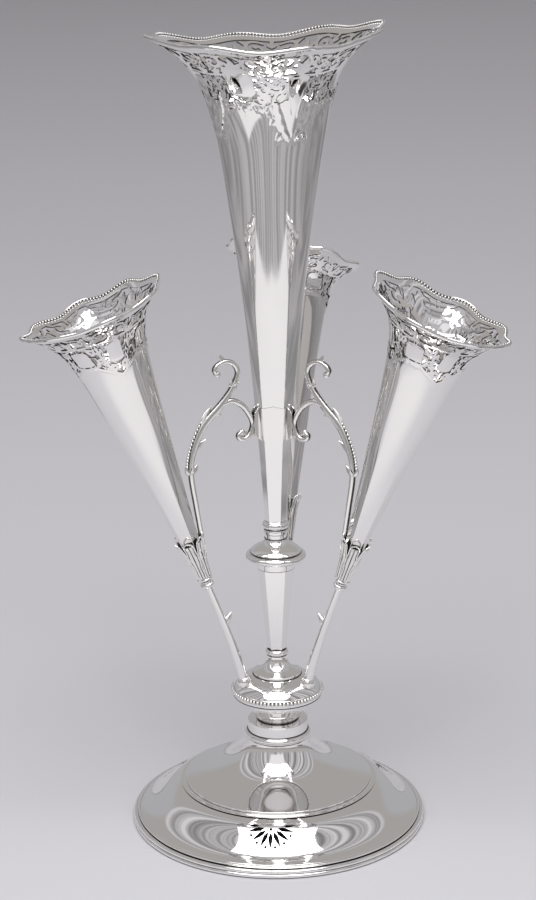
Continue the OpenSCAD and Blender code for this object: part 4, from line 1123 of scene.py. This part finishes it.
def side_band(phi, d, r):
    """Metal and relief of a side vase's pierced band, at angles from one of its points."""
    near_point, near_panel, x, edge = band_axes(phi, 0, r)
    frieze = union(
        curl(x, d, (5.6, 10.2), (3.7, 0.9), (-100, 260), [0.6, 0.55]),
        petals(
            x, d, ((0, 15.5), (0, 6.8), 0, 1.5), ((0.4, 14.6), (3.2, 15.6), -0.1, 0.8),
            ((0.4, 13.6), (3.4, 8.4), -0.1, 0.9), ((4.4, 7.0), (2.2, 5.0), 0.15, 0.8),
            ((5.0, 10.6), (7.4, 8.8), 0.15, 0.9), ((8.4, 12.6), (10.8, 13.6), -0.15, 0.8),
            ((8.8, 8.4), (10.6, 5.6), 0.1, 0.8),
        ),
        ribbon(edge, d, [(0, 4), (0, 9)], [0.9, 0.5]),
        petals(edge, d, ((0.2, 13.8), (1.6, 9.0), 0.1, 0.8), ((0, 14.5), (2.8, 13.0), 0.1, 0.7)),
        ribbon(x, d, [(0, 15.0), (30, 15.0)], [0.45]),
    )
    long_panel = rounded_box(near_point, d, (0, 22.0), (3.6, 6.2), 2.4)
    low_panel = rounded_box(near_panel, d, (0, 22.4), (4.6, 4.6), 2.0)
    stem_line = [(3.0, 33.5), (5.2, 29.0), (7.0, 24.0), (8.4, 18.0)]
    fill = union(
        spray(near_point, d, stem_line, [2.3, 2.2, 2.1, 1.9], [0.55, 0.4]),
        curl(near_point, d, (2.8, 30.4), (1.9, 0.7), (150, -150), [0.5, 0.45]),
        curl(near_panel, d, (6.6, 18.6), (2.0, 0.7), (90, -240), [0.5, 0.45]),
        petals(near_panel, d, ((5.4, 28.0), (7.4, 24.0), 0.15, 0.8), ((2.0, 28.4), (4.6, 27.4), 0.15, 0.7)),
    )
    low = 29.0 + 7.6 * np.clip(1 - near_point / 11.5, 0, 1)
    twigs = np.where(d > 15, tendrils(near_point, d, 0.85, 2.9, 0.3), -9)
    metal = union(4.6 - d, d - low + 1.2, frieze + 0.15, long_panel, low_panel, fill + 0.2, twigs)
    raised = union(frieze, fill)
    lines = union(0.42 - np.abs(d - low), 0.36 - np.abs(d - low - 1.6) - 0.05 * near_point)
    drops = petal(near_panel, d, (1.2, 29.4), (4.6, 29.2), 0.2, 0.8)
    beads = union(disc(near_panel, d, (0, 29.6), 1.0), drops)
    plain = np.maximum(long_panel, low_panel)
    relief = 0.1 * smoothstep(raised / 0.7) * (plain < 0.2)
    relief = np.maximum(relief, 0.24 * smoothstep(np.maximum(lines, beads) / 0.4))
    relief = np.maximum(relief, 0.14 * np.exp(-((plain - 0.3) / 0.35) ** 2))
    return metal, relief


def band(shape, pattern, columns, ds, start):
    """The pierced upper part of a trumpet, its pattern starting at an angle."""
    phi = around(columns)
    shares = share_at(shape[0], ds)
    metal, relief = pattern(phi[None, :] - start, ds[:, None], trumpet_r(shape[0], shares)[:, None])

    def place(row, col, lift, inner):
        t = np.interp(row, np.arange(len(ds)), shares)
        return trumpet_at(*shape, col * 360 / columns, t, VASE_WALL if inner else -lift)

    return pierced(metal, relief, place)


def body_rows(s, end):
    """Shares of a trumpet's length below its band, close together at the seam."""
    top = float(share_at(s, end))
    return np.concatenate([np.linspace(0, top - 0.02, 70), np.linspace(top - 0.02, top, 8)[1:]])


def band_steps(edge, cut, end, counts):
    """Distances from the rim: its plain edge, the pierced part and the plain part below."""
    starts = ((0, edge), (edge, cut), (cut, end))
    runs = [np.linspace(*span, count) for span, count in zip(starts, counts)]
    return np.concatenate([runs[0], runs[1][1:], runs[2][1:]])


def trumpet_pieces(name, body, shape, pattern, start, ds, columns, rim_columns, place):
    """Body, pierced band, beaded rim and the painted shadow line inside the rim, of one trumpet."""
    node, wire = [f"{name}_trumpet"], [f"{name}_rim_wire"]
    below = shell(*shape, body_rows(shape[0], ds[-1]), columns)
    piece(f"{name}_trumpet_skin", moved(below, place), body, node)
    piece(f"{name}_band_skin", moved(band(shape, pattern, 2 * columns, ds, start), place), body, node)
    rim, shadow_ring = rim_part(shape, rim_columns), rim_shadow_line(shape, rim_columns)
    piece(f"{name}_rim_skin", moved(rim, place), body, wire, "cast_silver", BEADED)
    piece(f"{name}_rim_seam_skin", moved(shadow_ring, place), body, wire, "cast_silver", PAINTED_SHADE)


on_socket = Matrix.Translation((0, 0, Z_VASE))
tall_ds = band_steps(6, 42, TALL_BAND_END, (8, 56, 20))
side_ds = band_steps(4, 37, SIDE_BAND_END, (7, 52, 8))
trumpet_pieces("center", "center_vase", TALL, tall_band, 0.0, tall_ds, 280, 540, on_socket)
for side in ARMS:
    shape = (SIDE, SIDE_WAVE[side], *SIDE_FACETS)
    place = leaned(side, ARM_HIGH, VASE_TILT) @ Matrix.Translation((0, 0, Z_TRUMPET))
    trumpet_pieces(side, f"{side}_arm", shape, side_band, SIDE_POINT[side], side_ds, 240, 420, place)
FOOT_RING_R, FOOT_RING_BEAD = 4.65, 2.3
ring = lathe(half_round(0, FOOT_RING_R, Z_SOCKET, FOOT_RING_BEAD, 16), 96)
piece("center_foot_ring_skin", ring, "center_vase", ["center_foot_ring"])

# Tie band with an ogee upper edge, and its lugs
BAND_PROUD, LUG_OFF, LUG_T = 0.35, 2.1, 1.0
band_phi = around(720)
facet = ((band_phi + 90 + 30) % 60 - 30) / 30
ogee = 1.4 * np.exp(-np.abs(facet) / 0.22) - 0.4 * np.cos(math.pi * facet) ** 2
band_rows = []
for depth, way in ((-BAND_PROUD, np.linspace(0, 1, 10)), (0.0, np.linspace(1, 0, 10))):
    for q in way:
        z = TIE_AT - TIE_H / 2 + (TIE_H + ogee) * q
        band_rows.append(trumpet_at(*TALL, band_phi, z / VASE[0], depth))
piece("tie_band_skin", moved(loft(band_rows, True), on_socket), "center_vase", ["tie_band"])
lug_low, lug_high = tie_face((TIE_AT - TIE_H / 2) / VASE[0]), tie_face((TIE_AT + TIE_H / 2) / VASE[0])
lug_reach = BRANCH_AT[0] + 0.7
lug_waist = (lug_reach - 0.2, lug_low[1] + 9.0)
lug_line = np.concatenate([
    [lug_low - (0.5, 0)],
    bezier([
        lug_low, (lug_reach + 0.4, lug_low[1] + 2.0), (lug_reach - 1.6, lug_low[1] + 6.5), lug_waist,
    ], 12),
    bezier([
        lug_waist, (lug_reach - 1.4, lug_high[1] - 6.5), (lug_reach + 0.6, lug_high[1] - 3.0), lug_high,
    ], 12)[1:],
    [lug_high - (0.5, 0)],
])


def plate(outline, y, thickness):
    """A cheek cut from sheet, with rounded edges."""
    o = np.asarray(outline)
    middle = o.mean(0)
    rings = []
    for share, inset in ((-0.5, 0.93), (-0.32, 1.0), (0.32, 1.0), (0.5, 0.93)):
        q = middle + (o - middle) * (inset, 0.5 + 0.5 * inset)
        rings.append(np.stack([q[:, 0], np.full(len(q), y + share * thickness), q[:, 1]], 1))
    return loft(rings)


lugs = []
for side in ARMS:
    for y in (-LUG_OFF, LUG_OFF):
        lugs.append(moved(plate(lug_line, y, LUG_T), arm_matrix(side)))
piece("tie_lugs_skin", join(*lugs), "center_vase", ["tie_lugs"], "cast_silver")

# Inner fittings stay as they are, in turned steel
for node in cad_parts.values():
    if not node.hide_render:
        node.data.materials.clear()
        node.data.materials.append(STEEL)


# Floor and light: painted light falloff on the paper, its tone at distances behind the column, in metres, and
# the brighter tone painted in front of it
FLOOR_FALLOFF_STOPS = [(-0.2, 0.66), (0.3, 0.61), (0.7, 0.63), (1.4, 0.65), (2.3, 0.66), (6.6, 0.52)]
FLOOR_FROM, FLOOR_RUN, FLOOR_HALF = -0.2, 8.0, 30
FLOOR_FRONT_LIT = (0.8, 0.79, 0.8)
CLOTH_DARK, CLOTH_PALE, DARK_WOOD = (0.27, 0.27, 0.275), (0.47, 0.46, 0.47), (0.05, 0.048, 0.045)
FOLD_STRETCH = (16, 1.5, 1)
FRONT_EDGE, FRONT_BOW, REAR_SPREAD = -0.6, -0.15, -0.22


def floor_material():
    """Pale paper with painted light, brighter in front and dimmer far behind; only mirrors see the cloth and
    dark wood beyond its edges.
    """
    material, tree = node_tree("floor_paper")
    place = shader_node(tree, "TexCoord").outputs["Object"]
    split = shader_node(tree, "SeparateXYZ", {0: place})
    x = worked(tree, "ABSOLUTE", split.outputs["X"])
    y = split.outputs["Y"]
    # Painted light falloff: the paper's tone follows the distance behind the column, and a brighter patch is
    # painted in front
    behind = ranged(tree, y, FLOOR_FROM, FLOOR_FROM + FLOOR_RUN, smooth=False)
    ramp = shader_node(tree, "ValToRGB", {"Fac": behind})
    while len(ramp.color_ramp.elements) < len(FLOOR_FALLOFF_STOPS):
        ramp.color_ramp.elements.new(0.5)
    for element, (at, level) in zip(ramp.color_ramp.elements, FLOOR_FALLOFF_STOPS):
        element.position = (at - FLOOR_FROM) / FLOOR_RUN
        element.color = (level * 0.99, level * 0.98, level * 1.02, 1)
    stretch = shader_node(tree, "VectorMath", {0: place, 1: FOLD_STRETCH}, operation="MULTIPLY")
    folds = noise(tree, stretch.outputs[0], 1.0, 2)
    cloth = mixed(tree, ranged(tree, folds, 0.36, 0.64), CLOTH_DARK, CLOTH_PALE)
    plain = mixed(tree, ranged(tree, y, -0.15, -0.26), ramp.outputs["Color"], FLOOR_FRONT_LIT)
    bowed = worked(tree, "MULTIPLY_ADD", x, FRONT_BOW, y)
    spread = worked(tree, "MULTIPLY_ADD", y, REAR_SPREAD, x)
    # In front, behind to both sides, beside, farther out, and two dark corners
    zones = [
        ([(bowed, FRONT_EDGE, FRONT_EDGE - 0.012)], cloth),
        ([(spread, 0.33, 0.36), (y, 0.06, 0.14)], cloth),
        ([(x, 0.34, 0.37), (y, -0.12, -0.08), (y, 0.1, 0.06)], DARK_WOOD),
        ([(x, 0.5, 0.54), (y, 0.12, 0.06)], cloth),
        ([(x, 0.29, 0.31), (x, 0.39, 0.36), (y, 0.4, 0.43), (y, 0.52, 0.49)], DARK_WOOD),
    ]
    tone = plain
    for limits, colour in zones:
        share = product(tree, *[ranged(tree, *limit) for limit in limits])
        tone = mixed(tree, share, tone, colour)
    seen = shader_node(tree, "LightPath").outputs["Is Camera Ray"]
    shader = shader_node(tree, "BsdfPrincipled", {
        "Roughness": 0.7, "Specular IOR Level": 0.1, "Base Color": mixed(tree, seen, tone, plain),
    })
    shader_node(tree, "OutputMaterial", {0: shader.outputs[0]})
    return material


def flat(name, half, material):
    """A level square of the stage at the floor's height."""
    mesh = bpy.data.meshes.new(name)
    corners = [(-half, -half, 0), (half, -half, 0), (half, half, 0), (-half, half, 0)]
    mesh.from_pydata(corners, [], [(0, 1, 2, 3)])
    mesh.materials.append(material)
    obj = bpy.data.objects.new(name, mesh)
    bpy.context.scene.collection.objects.link(obj)


def softbox(name, place, target, size, power):
    """A rectangular lamp that faces its target."""
    data = bpy.data.lights.new(name, "AREA")
    data.shape = "RECTANGLE"
    data.size, data.size_y = size
    data.energy = power
    lamp = bpy.data.objects.new(name, data)
    bpy.context.scene.collection.objects.link(lamp)
    lamp.location = place
    lamp.rotation_euler = (Vector(target) - Vector(place)).to_track_quat("-Z", "Y").to_euler()


KEY_AT, KEY_TARGET, KEY_SIZE, KEY_POWER = (0.0, -0.85, 2.0), (0, 0, 0.1), (1.9, 1.3), 31
flat("floor", FLOOR_HALF, floor_material())
softbox("key", KEY_AT, KEY_TARGET, KEY_SIZE, KEY_POWER)

# Levels of the room
FOLD_DARK, FOLD_PALE = (0.22, 0.215, 0.22), (0.66, 0.65, 0.67)
FRONT_LOW, REAR_LOW, REAR_HIGH = (0.43, 0.41, 0.4), (0.42, 0.42, 0.44), (0.39, 0.375, 0.365)
WINDOW = (0.85, 0.84, 0.85)
REAR_BEND = -0.7


def studio_world():
    """Grey room with folds of pale cloth hung round the front, above eye level, and a window in them."""
    world = bpy.data.worlds.new("studio")
    world.use_nodes = True
    tree = world.node_tree
    split = shader_node(tree, "SeparateXYZ", {0: shader_node(tree, "TexCoord").outputs["Generated"]})
    x, y, z = (split.outputs[axis] for axis in "XYZ")
    aside = worked(tree, "ABSOLUTE", x)
    turn = worked(tree, "ARCTAN2", x, worked(tree, "MULTIPLY", y, -1))
    folds = shader_node(tree, "TexNoise", {"Scale": 5.0, "Detail": 3}, noise_dimensions="1D")
    tree.links.new(turn, folds.inputs["W"])
    cloth = mixed(tree, ranged(tree, folds.outputs["Fac"], 0.35, 0.65), FOLD_DARK, FOLD_PALE)
    front = mixed(tree, ranged(tree, z, 0.1, 0.25), FRONT_LOW, cloth)
    rear = mixed(tree, ranged(tree, z, 0.3, 0.45), REAR_LOW, REAR_HIGH)
    bend = worked(tree, "MULTIPLY_ADD", aside, REAR_BEND, y)
    room = mixed(tree, ranged(tree, bend, -0.05, 0.03), front, rear)
    limits = ((aside, 0.4, 0.3), (z, 0.2, 0.35), (y, 0.02, -0.08))
    window = product(tree, *[ranged(tree, *limit) for limit in limits])
    tree.links.new(mixed(tree, window, room, WINDOW), tree.nodes["Background"].inputs["Color"])
    return world


bpy.context.scene.world = studio_world()
bpy.context.scene.view_settings.view_transform = "Standard"
